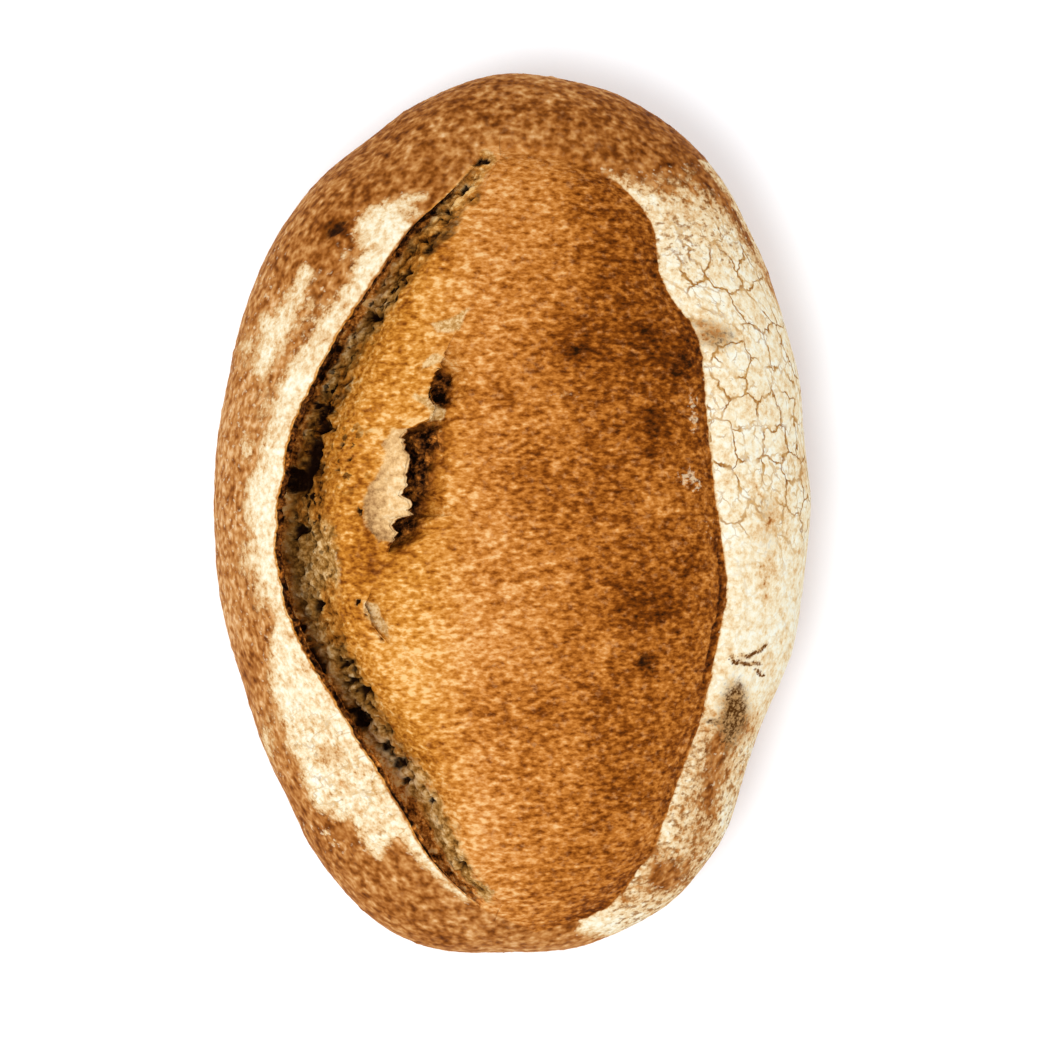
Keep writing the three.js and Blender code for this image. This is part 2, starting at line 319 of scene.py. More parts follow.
def underside_z(u, y):
    """The underside's height, u of the reach out from the spine."""
    end = towards_tip(y) ** FOOT_END
    gauge = np.sqrt(u * u + end - end * u * u)
    return GIRTH_HEIGHT * (1 - dome(np.maximum(gauge - FOOT_SHARE, 0) / (1 - FOOT_SHARE), 2))


def dome_z(u, y):
    rise = HEIGHT - BELLY_PROUD - GIRTH_HEIGHT
    return GIRTH_HEIGHT + rise * dome(towards_tip(y), DOME_ALONG) * dome(u, DOME_ACROSS)


# ---- The slash and what burst out of it ------------------------------
lip_line, edge_line = through(LIP, LINE_STEPS), through(BELLY_EDGE, LINE_STEPS)
tear_line = np.array(TEAR, float)


def openness(y):
    from_head, from_tail = SLASH["head"] - y, y - SLASH["tail"]
    depth = np.minimum(from_head / OPENING["head"], from_tail / OPENING["tail"])
    return np.sin(np.pi / 2 * np.clip(depth, 0, 1))


def belly_swell(x, y):
    distance = distance_to(edge_line, x, y)
    inside = (x < line_at(edge_line, y)) & (y < BELLY_EDGE[0][0])
    swell = np.where(inside, BELLY_PROUD * (1 - np.exp(-distance / BELLY_ROUNDING)), 0)
    tail = BELLY_EDGE[-1][0]
    swell = swell * smoothstep(y, tail, tail + BELLY_TAIL)
    return swell - CREASE_DEPTH * bell(distance, CREASE_WIDTH)


# How ragged the tears' edges are: (height, wavelength) in mm
LIP_RAGS = [(0.5, 8), (0.5, 2.6), (0.3, 1.3)]
TEAR_RAGS = [(0.5, 2.6), (1.3, 1.5)]
EDGE_RAGS = [(0.5, 11), (0.25, 3.5)]


def rags(sizes, y, seed):
    zero = np.zeros_like(y)
    return sum(h * grain(zero, y, zero, w, seed + n) for n, (h, w) in enumerate(sizes))


# ---- The sweep -------------------------------------------------------
def station_ys():
    """Stations spaced evenly round the outline, from tail to head."""
    w = np.linspace(0, 1, OUTLINE_SAMPLES)
    y = np.concatenate([-HALF * (1 - w**4), HALF * (1 - w[-2::-1] ** 4)])
    x = (reach_of(LEFT, y) + reach_of(RIGHT, y)) / 2
    along = running(np.hypot(np.diff(x), np.diff(y)))
    count = int(along[-1] / PITCH)
    return np.interp(along[-1] * np.arange(1, count) / count, along, y)


def skin_columns(start, stop, count):
    """`count` columns from u = start to just before u = stop, closer towards the outline."""
    start, stop = np.arccos(-np.asarray(start, float)), np.arccos(-np.asarray(stop, float))
    start, stop = np.atleast_1d(start)[:, None], np.atleast_1d(stop)[:, None]
    return -np.cos(lerp(start, stop, np.arange(count) / count))


def underside_columns(sign):
    foot = FOOT_SHARE * np.arange(1, COLUMNS["foot"] + 1) / COLUMNS["foot"]
    turn = np.arange(1, COLUMNS["edge"]) / COLUMNS["edge"]
    return sign * np.concatenate([foot, lerp(FOOT_SHARE, 1, np.sin(np.pi / 2 * turn))])


def sweep():
    """The grid of the loaf's surface, the columns of each strip of it, and how open the slash is
    at each station."""
    y = station_ys()
    left, right = reach_of(LEFT, y), reach_of(RIGHT, y)
    rows = y[:, None]

    def x_of(u):
        return spine_x(rows) + u * np.where(u < 0, left[:, None], right[:, None])

    at = np.clip(y, SLASH["tail"] + SLASH_TIPS, SLASH["head"] - SLASH_TIPS)

    def share_of(x):
        side = np.where(x < spine_x(at), reach_of(LEFT, at), reach_of(RIGHT, at))
        return (x - spine_x(at)) / side

    opened = openness(y)
    tear_open = line_at(tear_line, at, 2)
    tear_x = line_at(tear_line, at) + rags(TEAR_RAGS, y, 21) * smoothstep(tear_open, 0, 0.6)
    lip_x = line_at(lip_line, at) + rags(LIP_RAGS, y, 11) * opened
    shoulder_x = np.minimum(lip_x + TORN_WIDTH * lerp(SHUT_WIDTH, 1, opened), tear_x - FLAP_LEAST)
    pocket_x = tear_x + POCKET_WIDTH * lerp(SHUT_WIDTH, 1, tear_open)
    edge_x = line_at(edge_line, np.minimum(at, EDGE_TURNS)) + rags(EDGE_RAGS, y, 31)
    places = (lip_x, shoulder_x, tear_x, pocket_x, edge_x)
    lip, shoulder, tear, pocket, edge = map(share_of, places)

    def underside(u):
        return x_of(u), underside_z(u, rows)

    def left_skin(u):
        lift = EAR_LIFT * opened[:, None] * bell(x_of(u) - x_of(lip[:, None]), EAR_REACH)
        return x_of(u), dome_z(u, rows) + lift

    def belly(u):
        x = x_of(u)
        return x, dome_z(u, rows) + belly_swell(x, np.broadcast_to(rows, x.shape))

    def flap(u):
        x, z = belly(u)
        return x, z + FLAP_LIFT * tear_open[:, None] * bell(x - x_of(tear[:, None]), FLAP_REACH)

    def torn(under, climb, start, stop, skin, open_, steps):
        """A tear's profile, which closes to the plain skin where the tear is shut."""
        edge, far_edge = np.array([skin(start[:, None]), belly(stop[:, None])])[..., 0]
        points = [edge + np.outer(step, open_) for step in under]
        deepest = points[-1]
        points += [lerp(deepest, far_edge, np.reshape(share, (2, 1))) for share in climb]
        x, z = np.moveaxis(through([*points, far_edge], steps)[:-1], 0, -1)
        depth = np.arange(x.shape[1]) / steps
        crag = unevenness(CRAGS, x, np.broadcast_to(rows, x.shape), z)
        crag = crag * open_[:, None] * smoothstep(depth, 1, 2)
        crag = crag * smoothstep(len(under) + len(climb) - depth, 0, 2)
        plain_x, plain_z = skin(skin_columns(start, stop, x.shape[1]))
        showing = smoothstep(open_, 0, SHOWS_FROM)[:, None]
        return lerp(plain_x, x + crag / 2, showing), lerp(plain_z, z + crag, showing)

    strips = {
        "foot_left": underside(np.concatenate([[0], underside_columns(-1)])[None, :]),
        "left_skin": left_skin(skin_columns(-1, lip, COLUMNS["left_skin"])),
        "crevice": torn(CREVICE, TORN_FLANK, lip, shoulder, left_skin, opened, TORN_STEPS),
        "flap": flap(skin_columns(shoulder, tear, COLUMNS["flap"])),
        "pocket": torn(POCKET, POCKET_FLOOR, tear, pocket, flap, tear_open, POCKET_STEPS),
        "belly": belly(skin_columns(pocket, edge, COLUMNS["belly"])),
        "right_skin": belly(skin_columns(edge, 1, COLUMNS["right_skin"])),
        "foot_right": underside(np.concatenate([[1], underside_columns(1)[::-1]])[None, :]),
    }
    grids = [np.broadcast_arrays(*strip) for strip in strips.values()]
    x, z = (np.concatenate([grid[n] for grid in grids], axis=1) for n in (0, 1))
    ends = running([grid[0].shape[1] for grid in grids])
    parts = {name: slice(*columns) for name, *columns in zip(strips, ends, ends[1:])}
    return x, np.broadcast_to(rows, x.shape).copy(), z, parts, opened


def knead(x, y, z):
    """Lets the dough swell and sink a little, but leaves the foot flat on the board."""
    swell = sum(unevenness(size, x, y, z) for size in SWELLS)
    swell = swell * smoothstep(z, 0, GIRTH_HEIGHT * SWELL_FROM)
    out = np.stack([x, y / 2, np.maximum(z - GIRTH_HEIGHT, 0)])
    out /= np.maximum(np.sqrt((out**2).sum(axis=0)), 1e-9)
    for at_x, at_y, radius, depth in DENTS:
        swell = swell - depth * bell(np.hypot(x - at_x, y - at_y), radius) * smoothstep(z, 0, 12)
    return x + out[0] * swell, y + out[1] * swell, z + out[2] * swell


def normals_of(x, y, z):
    """Outward normals of the grid, which is closed round its columns."""
    p = np.stack([x, y, z])
    across = np.roll(p, -1, axis=2) - np.roll(p, 1, axis=2)
    along = np.gradient(p, axis=1)
    normal = np.cross(across, along, axis=0)
    return normal / np.maximum(np.sqrt((normal**2).sum(axis=0)), 1e-12)


# ---- What lies where, as the camera sees it --------------------------
# All of these places are given in mm as (x, y) where the camera sees them, on a plane at the
# girth's height. Many were read off the photo by eye in pixels, which a scratch script turned
# into mm, rounded to half a mm.

# The cream flour left on the skin: beside the lip, in a strip near the outline, and on the
# whole right side. The outlines of these areas as [x, y] corners.
LIP_FLOUR = [
    [-25, 98.5], [-32, 97.5], [-39, 95.5], [-45.5, 92], [-48, 86], [-45, 80], [-49.5, 71.5],
    [-54.5, 64.5], [-59, 57], [-65.5, 48.5], [-70.5, 40], [-73.5, 28.5], [-76, 18], [-80, 10],
    [-81, 1], [-78.5, -8.5], [-76.5, -20], [-72, -32], [-73, -42], [-74, -51], [-70.5, -60.5],
    [-68.5, -70.5], [-64, -78], [-62, -87], [-59, -91], [-54.5, -93.5], [-49, -94], [-47, -98],
    [-42.5, -104.5], [-39.5, -106], [-38, -102], [-34.5, -99.5], [-28, -107], [-21.5, -113],
    [-14.5, -118], [-3, -120.5], [-27.5, -88], [-55, -14.5], [-55, 22.5], [-33.5, 68.5],
]
STRIP_FLOUR = [
    [-63, 76], [-61.5, 73.5], [-64.5, 64.5], [-67.5, 58.5], [-70, 50], [-75.5, 41.5],
    [-78, 42.5], [-76.5, 52.5], [-76, 60.5], [-71, 62.5], [-68, 68], [-64.5, 74],
]
SIDE_FLOUR = [
    [29, 104], [39.5, 102.5], [48.5, 100], [57, 99.5], [62.5, 96], [67, 91], [71.5, 84],
    [75, 78.5], [78, 73], [82, 64], [98, 50], [98, -57.5], [83, -90], [58.5, -127],
    [40, -131.5], [27.5, -129.5], [24, -130], [21, -128], [27.5, -103.5], [27.5, 80.5],
]
RIM_FLOUR = [
    [57, 108.5], [62, 103.5], [66.5, 97], [70.5, 90], [73.7, 83.5], [76, 78.5], [78.3, 74],
    [84, 76], [76, 92], [64, 108],
]
# Round patches with more or less flour than that: [x, y, radius x, radius y, change]
MORE_OR_LESS_FLOUR = [
    [-32, 91.7, 3, 1.6, -0.5], [-28, 94.7, 3, 1.7, -0.6], [-41.5, 81.5, 2, 1.4, -0.4],
    [-54.5, -75, 4.5, 3.3, -0.45], [-50.5, -71, 2, 1.6, -0.3], [-57.5, -72, 1.6, 1.6, -0.3],
    [-55, -91, 2.5, 1.5, -0.4], [-80, 49.5, 3.4, 5, 0.4], [-76, 34, 2.5, 7.5, 0.3],
    [-50.5, 79, 4, 4, 0.28], [-59.5, 73, 4.3, 3.5, 0.18], [-61, 61, 5, 6, 0.38],
    [-56, 70, 4, 5, 0.12], [-69, 49, 3, 5, 0.2], [-80.5, 19.5, 1.8, 3.7, 0.85],
    [-67, -57.5, 4, 4, 0.12], [-60, -66, 7, 2, -0.15], [-76, 20, 2.5, 2.5, 0.35],
    [-80, -14.5, 2.8, 6.7, 0.5], [-76, -26.5, 2.5, 6.1, 0.4], [-74, -69, 2.2, 6.7, 0.5],
    [-56, -98, 1.6, 1, 0.6], [-53.5, -101, 1.4, 1, 0.5], [-66, -39, 2.5, 3.1, -0.2],
    [-46, -91, 2.5, 2.5, -0.3], [-38.5, -95.5, 2.5, 1.8, -0.3], [-51, -84, 4, 3, -0.15],
    [44.5, 103.5, 8.6, 3.4, 0.3], [55, 105, 3.1, 2.5, 0.3], [55, 92, 9, 5, -0.4],
    [48, 98, 7, 4, -0.25], [64, 83, 6, 6, -0.15], [61, 55, 5.5, 4.3, -0.6],
    [58.5, 58.5, 2.1, 1.5, -0.4], [-64.5, 56, 3, 4, 0.2], [80, -2, 5, 8, -0.4],
    [74, 8, 5, 6, -0.12], [68.7, -60, 3, 5.5, -0.35], [64, -70, 3, 4.5, -0.6],
    [72, -66, 3.2, 4, -0.6], [64, -76, 6, 8, -0.6], [60, -85, 4.5, 7, -0.5],
    [62, -92.5, 3.5, 9, -0.45], [58, -100, 4, 5, -0.4], [47, -111.5, 6, 5.5, -1.15],
    [43.5, -103.5, 3.5, 3, -0.6], [34.5, -118, 6, 5, -0.5], [53, -94, 3.5, 8, -0.35],
    [56, -108, 5, 6, -0.4], [89, 13, 1.8, 7.7, -0.3], [40, 101.5, 6, 4, -0.5],
    [79.5, -18, 3.5, 7, -0.35], [76.7, 19, 5, 8, 0.15], [61.5, -5, 4, 7, 0.12],
    [65.5, -94, 2.2, 7, 0.45], [57.5, -66, 3, 5, -0.35], [-57, 54, 4.5, 3, -0.55],
    [-67.5, 74.5, 4, 4, -0.15], [-71, -33, 3, 5, -0.12], [-80, -50, 4, 9, -0.15],
    [56, 30, 2, 6, 0.2], [16, 36, 7, 1.6, 0.26],
]
# Sooty places, where dark grains lie close: [x, y, radius x, radius y, how many]
SOOT = [
    [68.7, -61, 4.3, 8, 1.6], [70, -54, 3, 3.5, 0.4], [62, -64, 3.5, 0.8, 1],
    [66, -70, 3, 4, 0.8], [61, 54.5, 6.5, 4.6, 0.6], [58, 58.5, 4, 1.4, 0.5],
    [78, 2, 5, 4, 0.4], [79, -9, 4, 7, 0.35], [66, 53, 4, 4, 0.5], [43.5, -103.5, 4, 3, 0.5],
    [47, -112, 4, 4, 0.45], [-53.5, 87, 4.5, 3, 0.7], [41.5, -45, 4, 3.5, 0.7],
    [20, 50, 3, 2, 0.5], [45, 52, 4, 3, 0.3], [44, 28, 3, 4, 0.4],
]
# Deep cracks in the flour, as lines of [y, x] points
CRACKS = [
    [[-43.8, 67.9], [-45.8, 69.2], [-46.2, 72], [-46.1, 76.5]], [[-44, 70.6], [-43.8, 73.5]],
    [[-43.4, 74], [-42.3, 76], [-40.1, 78.9]], [[-48.4, 75.5], [-49.9, 77.4]],
]
# Where white grains lie scattered on the brown crust: [x, y, radius x, radius y, how many]
FLECKS = [
    [54.5, 11, 4, 2.6, 1.3], [57.5, 8, 1.5, 1.5, 0.9], [-63, -96, 8, 5, 0.5],
    [-50, -103, 7, 3, 0.5], [56, 32, 2, 9, 0.5], [47, 80, 3, 8, 0.3],
]

# Darker and lighter places on the crust: [x, y, radius x, radius y, change]
TOASTED = [
    [20.5, 50, 8, 4.5, 0.12], [20.5, 50, 2.5, 1.8, 0.22], [21, 50, 13, 10, 0.12],
    [9, 50, 9, 12, 0.08], [44.5, 51.5, 9.2, 7.4, 0.19], [54, 46, 5.5, 7.4, 0.24],
    [44.5, 28.5, 5, 6.5, 0.24], [43, -29, 8.6, 6.1, 0.24], [42.3, -46.5, 3.2, 4, 0.4],
    [33, -86.5, 8, 5, 0.1], [30.5, 79, 12.3, 10.4, 0.1], [-53, 87.5, 3.7, 2.8, 0.5],
    [0, 14, 13, 13, 0.1], [-8, -30, 19, 9, -0.02], [3, -62, 13, 8, 0.1], [46, 4, 7, 6, -0.18],
    [21, -73, 7, 6, -0.08], [-30, -42, 13, 12, -0.04], [-30, -57, 12, 8, -0.03],
    [-41, -16, 6, 8, 0.22], [-13, 28, 5, 16, 0.12], [-7, 50, 5, 12, 0.05],
    [-20, 80, 6, 4, 0.12], [-48, 17, 5, 10, 0.08], [-31, -73, 6, 8, 0.1],
    [-12, -62, 14, 8, 0.08], [4, 33, 5, 5, 0.08], [-22, -10, 8, 12, 0.06],
    [-43, -6, 4, 7, 0.15], [0, -79, 14, 7, 0.08], [-18, 62, 6, 12, 0.08],
    [44, -100, 7, 8, -0.1], [26, 84, 6, 5, -0.06], [-20, 10, 6, 10, 0.08],
    [-16, -12, 8, 8, 0.07], [-7, 113, 7, 4, -0.15], [-41, -43, 5, 5, -0.1], [0, 40, 4, 6, 0.06],
    [55, -17.5, 5, 5, 0.1], [49, 41, 4, 5, 0.12], [46, 19.5, 4, 4, 0.14], [37, -46, 5, 5, 0.08],
    [27, -121, 5, 3.5, 0.12], [-21.5, -131, 8, 4, 0.1], [-18.5, -27, 6, 5, 0.08],
    [0, -33, 6, 5, 0.06], [-18.5, -73, 6, 5, 0.08], [-6, 35, 5, 4, 0.06], [-3, 1, 6, 5, 0.06],
    [-12, 56, 4, 5, 0.06], [-21.5, 77.5, 5, 5, 0.08], [-46, -5, 4, 5, 0.1],
    [-40, -45, 5, 4, -0.08], [12, -100, 8, 6, -0.05], [12, 87, 6, 6, -0.06],
    [-80, -48, 4, 6, 0.12], [42, -103, 4, 3, 0.1], [33, -41, 10, 8, -0.06],
    [45, -50, 7, 12, -0.1], [35, -96, 14, 13, -0.1], [46, -78, 6, 10, -0.06],
    [33, 51, 4, 6, -0.12], [-3, 35, 5, 5, 0.12], [22, 35, 5, 5, 0.08], [34, -11, 6, 5, 0.09],
    [-28, -12, 5, 4, 0.08], [29, -44, 9, 6, -0.07], [34, -57, 5, 5, -0.06],
]
# Charred spots, sunk a little: [x, y, radius]
SCABS = [
    [41.2, -44.8, 2.2], [43.4, -48.5, 1.2], [29, -97, 0.8], [20.2, 50.4, 1.3],
    [-55.6, 85.2, 2.2], [-53, 87.4, 1.7], [-51, 89.3, 1.3],
]
# Grey smears of dried crumb on the belly, as outlines of [x, y] corners
SMEARS = [
    [[-25, 57.5], [-22.5, 55.5], [-19.5, 55], [-15.5, 56], [-12.5, 63], [-17, 60.5]],
    [[-27.5, 46], [-25, 48], [-22.5, 49], [-20.5, 47], [-24, 45], [-27, 44]],
    [[-29.5, 37.5], [-26, 35.5], [-19.5, 31.5], [-21, 28], [-25, 28], [-24.5, 31.5], [-30, 35.5]],
    [[-45.8, -26.8], [-44.6, -31], [-41.6, -35], [-37, -39], [-37.4, -35.5], [-41, -28]],
]

# The band of dried, grey crumb in the crevice: [y, where it starts and ends beyond the lip, how
# light the crumb is near the lip, in the ear's shade, where it is painted lighter to make up for
# that shade (painted light), and at the far side]
GREY_BAND = [
    [100, 7, 7, 0.76, 0.46], [94.5, 5.5, 11, 0.7, 0.36], [82, 3, 11.7, 0.74, 0.38],
    [73, 2, 11, 0.82, 0.5], [62, 3.6, 11.7, 0.87, 0.53], [50, 4.4, 11, 0.83, 0.34],
    [34.7, 3.8, 11.7, 0.8, 0.22], [19.3, 4.5, 10.4, 0.56, 0.27], [4, 2.5, 15.3, 0.5, 0.48],
    [-8.3, 3, 18.4, 0.55, 0.7], [-17.5, 3.7, 20, 0.58, 0.76], [-26.7, 3, 17.2, 0.7, 0.64],
    [-42, 3, 13, 0.78, 0.46], [-57.4, 2.5, 13, 0.82, 0.52], [-72.7, 2.5, 12.3, 0.96, 0.72],
    [-82, 4.6, 14.7, 0.8, 0.74], [-88, 5.5, 14, 0.68, 0.75], [-97.3, 5.5, 13, 0.58, 0.74],
    [-106.5, 5, 12.3, 0.54, 0.72], [-115.7, 4.3, 9.8, 0.6, 0.76], [-121, 3.5, 4, 0.6, 0.76],
]
# Holes torn in the crumb, painted dark as the shade in them: [x, y, radius x, radius y]
HOLES = [
    [-9.5, 107.8, 1.4, 1.3], [-7.4, 108.4, 1.5, 0.8], [-11, 103, 1, 0.6], [-14.6, 98.5, 0.9, 1],
    [-13.2, 100, 1.2, 1.1], [-11.3, 97, 1, 0.6], [-19.5, 93.3, 0.9, 0.9],
    [-19.7, 90.2, 1.1, 1.2], [-17.3, 91.2, 1.4, 0.7], [-19.6, 86.6, 1, 0.8],
    [-22.3, 86.3, 1.1, 0.8], [-26.5, 84, 1.2, 0.9], [-25, 81.5, 1.2, 1.2],
    [-29.5, 81.5, 1.2, 0.9], [-31.5, 74, 1.5, 0.9], [-33, 71, 1.2, 0.9], [-42, 60.5, 2.5, 1.4],
    [-53, 51, 1.2, 2.5], [-56, 46.5, 1.6, 2.5], [-58.5, 42, 1.5, 2.1], [-57.2, 31.3, 1, 1.7],
    [-59.2, 33.1, 1.6, 0.9], [-57.4, 26.4, 1.5, 1.8], [-54.6, 26.1, 0.9, 0.9],
    [-60, 19.5, 2.3, 3.2], [-61.5, 14.5, 1.6, 2.5], [-63.8, 9.8, 3.2, 3.4], [-67, 10.5, 2, 4],
    [-58.1, 12.9, 0.8, 2.2], [-64.7, -5.2, 2.6, 1.5], [-70, -2.2, 0.8, 1.6],
    [-66.5, -8, 1.2, 1.2], [-60.5, -10, 0.9, 0.6], [-59.5, -29, 1.8, 2.5],
    [-64.5, -36, 2.1, 1.8], [-61, -43, 2.1, 2.5], [-58.5, -48, 2.4, 2.8],
    [-50.5, -46.5, 2.3, 1.2], [-48.5, -52, 2.2, 1.2], [-45.5, -55, 2.3, 1.6],
    [-47.5, -60.9, 2.1, 1.1], [-45.4, -64, 2.7, 2], [-38, -72.1, 1.9, 2.1],
    [-34.4, -77, 2.1, 2.1], [-32.5, -82.5, 1.8, 1.5], [-24.5, -88.5, 1.5, 1.2],
    [-17.5, -103, 0.9, 1.2], [-14.5, -108, 1, 1.3], [-46.5, 0.5, 1.1, 1.1],
    [-47, -27.5, 0.5, 0.9], [-35, -3.5, 1.8, 1.8], [-43.8, -30.5, 0.6, 1.4],
    [-41.4, -35, 0.6, 1.4], [-39, -38.5, 1.1, 0.7], [-56, 28, 0.8, 0.8], [-52, 21, 0.7, 1.5],
    [-49.5, 16.5, 0.8, 0.6], [-53.5, 13.5, 0.7, 0.9],
]
# There the crumb's small holes are painted dark, as the shade in them
HONEYCOMB = [-50, 18, 6, 10, 1]  # where the crumb is full of small holes, as a patch
# The second tear: the crumb laid bare, and the painted shadow inside the pocket and a slit above
# it, as outlines of [x, y] corners
BARE_CRUMB = [
    [-32, 26], [-36, 26], [-40.5, 21], [-38.3, 18.5], [-39.3, 15.5], [-40.3, 12.5], [-43.8, 8],
    [-45.3, 4.5], [-45, -1], [-43.2, -5], [-40.7, -8], [-36.3, -9], [-27.5, -9], [-27.5, 26],
]
POCKET_SHADOW = [
    [-34.5, 23.5], [-31.5, 25], [-28.5, 26.5], [-24.5, 28], [-21.5, 27], [-21, 20.5], [-24, 18],
    [-23.5, 15], [-24.5, 10], [-25, 6], [-27, 3], [-28, -1], [-29, -5], [-31.5, -8.5],
    [-33.5, -10], [-37, -10], [-38.5, -3.5], [-37, 4], [-35.5, 13],
]
SLIT_SHADOW = [
    [-22, 44], [-19.5, 42.5], [-18.5, 39.5], [-19.5, 36.5], [-18.5, 34], [-21.5, 32],
    [-24.5, 34.5], [-24.5, 38.5], [-23, 41],
]



# ---- The fields ------------------------------------------------------
def seen_from_above(x, y, z):
    """Where the camera sees a point, on the plane at the girth's height."""
    scale = (CAMERA_HEIGHT - GIRTH_HEIGHT) / (CAMERA_HEIGHT - z)
    over_x, over_y = CAMERA_OVER
    return over_x + (x - over_x) * scale, over_y + (y - over_y) * scale


def patches(rows, x, y):
    """The sum of soft round patches at (x, y)."""
    return sum(
        change * np.exp(-(((x - cx) / rx) ** 2 + ((y - cy) / ry) ** 2))
        for cx, cy, rx, ry, change in rows
    )


def holes(x, y, wider=0):
    return patches([[cx, cy, rx + wider, ry + wider, 1] for cx, cy, rx, ry in HOLES], x, y)


def area(corners, x, y, soft):
    """1 inside an outline and 0 outside, over an edge `soft` mm wide on either side."""
    outline = np.array(corners, float)[:, ::-1]
    widest = np.max(soft)
    (low_y, low_x), (high_y, high_x) = outline.min(axis=0) - widest, outline.max(axis=0) + widest
    near = (x > low_x) & (x < high_x) & (y > low_y) & (y < high_y)
    share, nx, ny = np.zeros(x.shape), x[near], y[near]
    distance = distance_to(np.concatenate([outline, outline[:1]]), nx, ny)
    soft = np.broadcast_to(soft, x.shape)[near]
    distance = np.where(is_inside(outline, nx, ny), distance, -distance)
    share[near] = smoothstep(distance, -soft, soft)
    return share


# The fields below are shares from 0 to 1, or tones from dark to light, for each point of the
# surface. Their bare numbers are places in mm, softness in mm and amounts.
class Surface:
    """The loaf's grid of points: its strips, where the camera sees it, and its grain."""

    def __init__(self, x, y, z, parts, opened):
        self.x, self.y, self.z, self.parts = x, y, z, parts
        self.opened = opened[:, None]
        self.sx, self.sy = seen_from_above(x, y, z)
        self.upper = smoothstep(z, GIRTH_HEIGHT - 8, GIRTH_HEIGHT + 4)
        self.on_top = self.strip("crevice", "flap", "pocket", "belly", "right_skin")
        self.by_tear = self.strip("flap", "pocket", "belly")

        # Places moved about a little, so that what is drawn there gets an uneven outline
        self.dx, self.dy = self.wandering(0.8, 4, 51)
        self.px, self.py = self.sx + self.dx, self.sy + self.dy
        far_x, far_y = self.wandering(1.1, 2.4, 95)
        self.hx, self.hy = self.sx + far_x, self.sy + far_y

        self.streak = grain(x, y, z, (4.6, 1.5, 2), 61, 2)
        self.ripple = grain(x, y, z, (13, 5, 7), 62, 2)
        self.grit = grain(x, y, z, 1.9, 63, 2)
        self.lumps = grain(x, y, z, 6.5, 64, 2)
        self.wide = grain(x, y, z, 24, 65, 2)
        self.crumb = grain(x, y, z, (4.4, 2.6, 3.4), 66, 3)
        self.clods = grain(x, y, z, (4.4, 2.6, 3.4), 66)
        self.strands = grain(0.85 * x + 0.52 * y, 0.85 * y - 0.52 * x, z, (6, 1.5, 3), 67, 2)

    def wandering(self, reach, size, seed):
        return [reach * grain(self.x, self.y, self.z, size, seed + k, 2) for k in range(2)]

    def strip(self, *names):
        """1 in the named strips of the grid."""
        mask = np.zeros(self.x.shape)
        for name in names:
            mask[:, self.parts[name]] = 1
        return mask

    def profile_in(self, name, points):
        """How far down a tear's profile each of its columns lies, counted in its points."""
        ramp, columns = np.zeros(self.x.shape), self.parts[name]
        ramp[:, columns] = np.linspace(0, points, columns.stop - columns.start)
        return ramp

    def across(self, low, high):
        """0 to 1 as the camera sees x pass from low to high."""
        return smoothstep(self.sx, low, high)

    def along(self, low, high):
        return smoothstep(self.sy, low, high)


def find_belly(s):
    """The belly, which swelled out between the lip and its far edge, and the torn crevice."""
    x, y = s.x + 0.6 * s.dx, s.y + 0.6 * s.dy
    border = distance_to(np.concatenate([lip_line[:1], edge_line, lip_line[-1:]]), x, y)
    inside = is_inside(np.concatenate([lip_line[::-1], edge_line]), x, y)
    s.inside = np.where(inside, border, -border)
    soft = lerp(0.4, 4, smoothstep(s.y, 88, 106) * smoothstep(s.x, 40, 15))
    s.profile = s.profile_in("crevice", len(CREVICE) + len(TORN_FLANK))
    torn = s.strip("crevice") * smoothstep(s.opened, 0.05, 0.3)
    s.belly = np.maximum(smoothstep(s.inside, -soft, soft) * s.on_top, torn * (s.profile > 1))
    s.torn = torn * (1 - smoothstep(s.profile, 8, 11))
    first = s.parts["crevice"].start
    s.from_lip = s.sx - s.sx[:, first : first + 1]
    band = np.array(GREY_BAND, float)
    s.start, s.stop, s.near_tone, s.far_tone = (line_at(band, s.sy, n) for n in (1, 2, 3, 4))


def bake(s):
    """How brown the crust is, and how golden."""
    belly = 0.19 + 0.34 * s.across(-22, 38) + 0.09 * s.wide + 0.06 * s.ripple
    s.flank = smoothstep(s.z, 62, 30)
    skin = 0.4 + 0.05 * s.along(60, 110) + 0.08 * s.across(10, 50) * s.upper
    skin += 0.09 * s.wide + 0.04 * s.lumps - 0.08 * s.across(-60, -85)
    skin -= 0.1 * smoothstep(s.z, 50, 36) + 0.1 * smoothstep(s.z, 20, 4)
    skin += 0.05 * s.flank * (s.ripple + s.wide)
    toast = lerp(skin, belly, s.belly) + patches(TOASTED, s.px, s.py) * s.upper

    # A darker line along the belly's far edge; for a stretch a groove just inside it, painted dark
    # with a painted highlight beside it; and painted shadow browning the crust round the pocket and
    # the slit
    on_belly = s.strip("belly")
    edge = smoothstep(-s.inside, -2.6, -0.6) * smoothstep(s.y, 104, 80)
    s.double = bell(s.inside - 2, 0.5) * s.along(-4, -12) * s.along(-66, -50) * on_belly
    toast += 0.09 * edge * s.belly * on_belly
    toast += 0.32 * s.double - 0.2 * bell(s.inside - 3.2, 0.6) * (s.double > 0.1)
    shade = area(POCKET_SHADOW, s.px, s.py, 6.5) + area(SLIT_SHADOW, s.px, s.py, 3.5)
    toast += 0.75 * shade * s.strip("pocket", "belly")

    s.gold = s.across(-5, -32)
    ridge = 0.1 * bell(s.from_lip - s.stop - 2, 9) + 0.1 * s.lumps + 0.08 * s.crumb
    s.toast = toast + ridge * s.gold * s.belly


